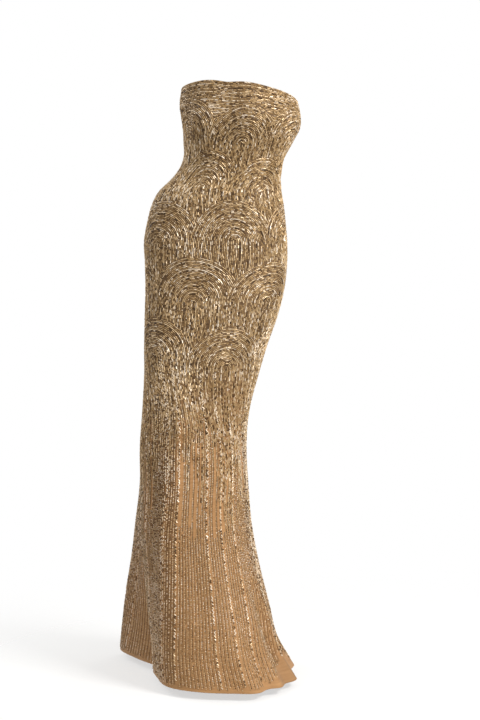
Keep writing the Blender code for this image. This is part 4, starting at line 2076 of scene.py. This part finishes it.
@dataclass(frozen=True)
class SoftLight:
    """A square soft light that faces the gown's middle: its place and size in metres, in watts."""

    name: str
    place: tuple[float, float, float]
    size: float
    power: float
    colour: Colour = (1.0, 0.99, 0.97)

    def build(self, facing: Vector) -> None:
        """Makes the light.

        Args:
            facing: The place that it faces, in metres.
        """
        data = bpy.data.lights.new(self.name, "AREA")
        data.size = self.size
        data.energy = self.power
        data.color = self.colour
        light = bpy.data.objects.new(self.name, data)
        bpy.context.scene.collection.objects.link(light)
        light.location = self.place
        light.rotation_euler = (facing - Vector(self.place)).to_track_quat("-Z", "Y").to_euler()


@dataclass(frozen=True)
class FloorFinish(Finish):
    """The floor's plain matt white, which fades out between two distances from its middle.

    cover is how much of it shows within the first.
    """

    name: str = "studio_floor"
    grain: Patches = (6.0, 6.0, 0.3)
    white: Colour = (0.96, 0.96, 0.96)
    shade: Colour = (0.9456, 0.9456, 0.9456)
    fade_from: float = 0.256
    fade_to: float = 1.28
    cover: float = 0.40

    def values(self, bench: NodeBench, place: Socket) -> dict[str, object]:
        """Wires the fading and a faint unevenness.

        Args:
            bench: The material's nodes.
            place: The object's coordinates.

        Returns:
            What goes into the shader, by name.
        """
        x, y = bench.add("SeparateXYZ", {0: place}).outputs[:2]
        squares = [bench.maths("MULTIPLY", along, along) for along in (x, y)]
        far = bench.maths("SQRT", bench.maths("ADD", *squares))
        steps = {0: far, 1: self.fade_from, 2: self.fade_to, 3: self.cover, 4: 0.0}
        fade = bench.add("MapRange", steps, interpolation_type="SMOOTHSTEP")
        grain = SoftMottle.on(bench, place, *self.grain)
        return {
            "Base Color": bench.ramp(grain, ((0.3, self.shade), (0.7, self.white))),
            "Alpha": fade.outputs[0],
            "Roughness": 0.8,
        }


@dataclass
class Studio:
    """A pale floor that fades into a white surround, and soft light mostly from the right."""

    floor_height: float = -1.341
    floor_radius: float = 3.2
    floor_sides: int = 96
    floor_rings: int = 24
    floor_hole: float = 0.001
    surround: float = 0.465
    surround_colour: Colour = (1.0, 0.97, 0.93)
    gown_middle: tuple[float, float, float] = (-0.05, 0.0, -0.55)
    lights: tuple[SoftLight, ...] = (
        SoftLight("key_light", (1.8, -1.7, 1.15), 1.0, 103, (1.0, 0.985, 0.96)),
        SoftLight("fill_light", (-1.6, -2.0, 1.5), 1.5, 14, (1.0, 0.985, 0.965)),
        SoftLight("rim_light", (1.6, 2.0, 1.3), 1.4, 14),
        SoftLight("back_light", (-2.4, 1.5, 0.6), 1.4, 26),
    )

    def build_floor(self) -> None:
        """Makes the floor: a disc of rings, with a hole in its middle too small to see."""
        turn = np.linspace(0, 2 * math.pi, self.floor_sides, endpoint=False)
        reach = np.linspace(self.floor_hole, 1, self.floor_rings) * self.floor_radius
        x = reach[:, None] * np.cos(turn)
        y = reach[:, None] * np.sin(turn)
        points = np.stack([x, y, np.full(x.shape, self.floor_height)], axis=-1).reshape(-1, 3)
        index = np.arange(x.size).reshape(x.shape)
        beside = np.roll(index, -1, axis=1)
        quads = [index[:-1], index[1:], beside[1:], beside[:-1]]
        faces = np.stack(quads, axis=-1).reshape(-1, 4)
        mesh = make_mesh("studio_floor", points, faces, smooth=False)
        mesh.materials.append(FloorFinish().build())
        floor = bpy.data.objects.new("studio_floor", mesh)
        bpy.context.scene.collection.objects.link(floor)
        log.info("studio_floor: %d quads", len(faces))

    def build_surround(self) -> None:
        """Makes the surround: pure white where it's seen, and a softer white as light."""
        world = bpy.data.worlds.new("studio")
        world.use_nodes = True
        bpy.context.scene.world = world
        bench = NodeBench(world.node_tree)
        world.node_tree.nodes.clear()
        seen = bench.add("Background", {"Color": (1, 1, 1, 1), "Strength": 1.0})
        colour = (*self.surround_colour, 1)
        light = bench.add("Background", {"Color": colour, "Strength": self.surround})
        ray = bench.add("LightPath").outputs["Is Camera Ray"]
        either = bench.add("MixShader", {0: ray, 1: light.outputs[0], 2: seen.outputs[0]})
        bench.add("OutputWorld", {"Surface": either.outputs[0]})

    def build(self) -> None:
        """Makes the whole studio."""
        self.build_floor()
        self.build_surround()
        for light in self.lights:
            light.build(Vector(self.gown_middle))
        bpy.context.scene.view_settings.view_transform = "Standard"


@dataclass
class Viewpoint:
    """The photograph's viewpoint: far in front at chest height, looking a little down."""

    place: tuple[float, float, float] = (0.001, -4.194, -0.222)
    down: float = 4.87
    lens: float = 87.6
    film: float = 36

    def build(self) -> None:
        """Makes the camera."""
        data = bpy.data.cameras.new("camera")
        data.lens = self.lens
        data.sensor_width = self.film
        camera = bpy.data.objects.new("camera", data)
        bpy.context.scene.collection.objects.link(camera)
        camera.location = self.place
        camera.rotation_euler = (math.radians(90 - self.down), 0, 0)
        bpy.context.scene.camera = camera


def main() -> None:
    """Builds the gown's cloth, beads and zip, then the studio and the camera."""
    logging.basicConfig(level=logging.INFO, format="%(name)s %(message)s")
    cloth = ClothMap()
    mesh_cloth = MeshClothFinish().build()
    satin = SatinFinish().build()
    tape = TapeFinish().build()
    panels = [ClothPanel(side, cloth).build(mesh_cloth, satin) for side in Side]
    edge = RolledEdge(cloth)
    rolls = [
        edge.build("hem_roll", edge.inset, True, mesh_cloth),
        edge.build("neckline_roll", cloth.form.length - edge.inset, False, mesh_cloth),
    ]
    Beadwork(cloth).build({
        BeadKind.SEED: BeadFinish("seed_beads", 0.52, 0.36).build(),
        BeadKind.BUGLE: BeadFinish("bugle_beads", 0.50, 0.36).build(),
        BeadKind.SEQUIN: BeadFinish("sequins", 0.42, 0.26).build(),
    })
    lining = Lining(cloth)
    bands = [lining.build(front, satin) for front in (True, False)]
    fastener = Zip(cloth)
    tapes = [fastener.build_tape(side, tape) for side in (Side.BACK_LEFT, Side.BACK_RIGHT)]
    fastener.build_coil(tape)
    fastener.dress_metal(ZipMetalFinish().build())
    Studio().build()
    Viewpoint().build()


if __name__ == "__main__":
    main()
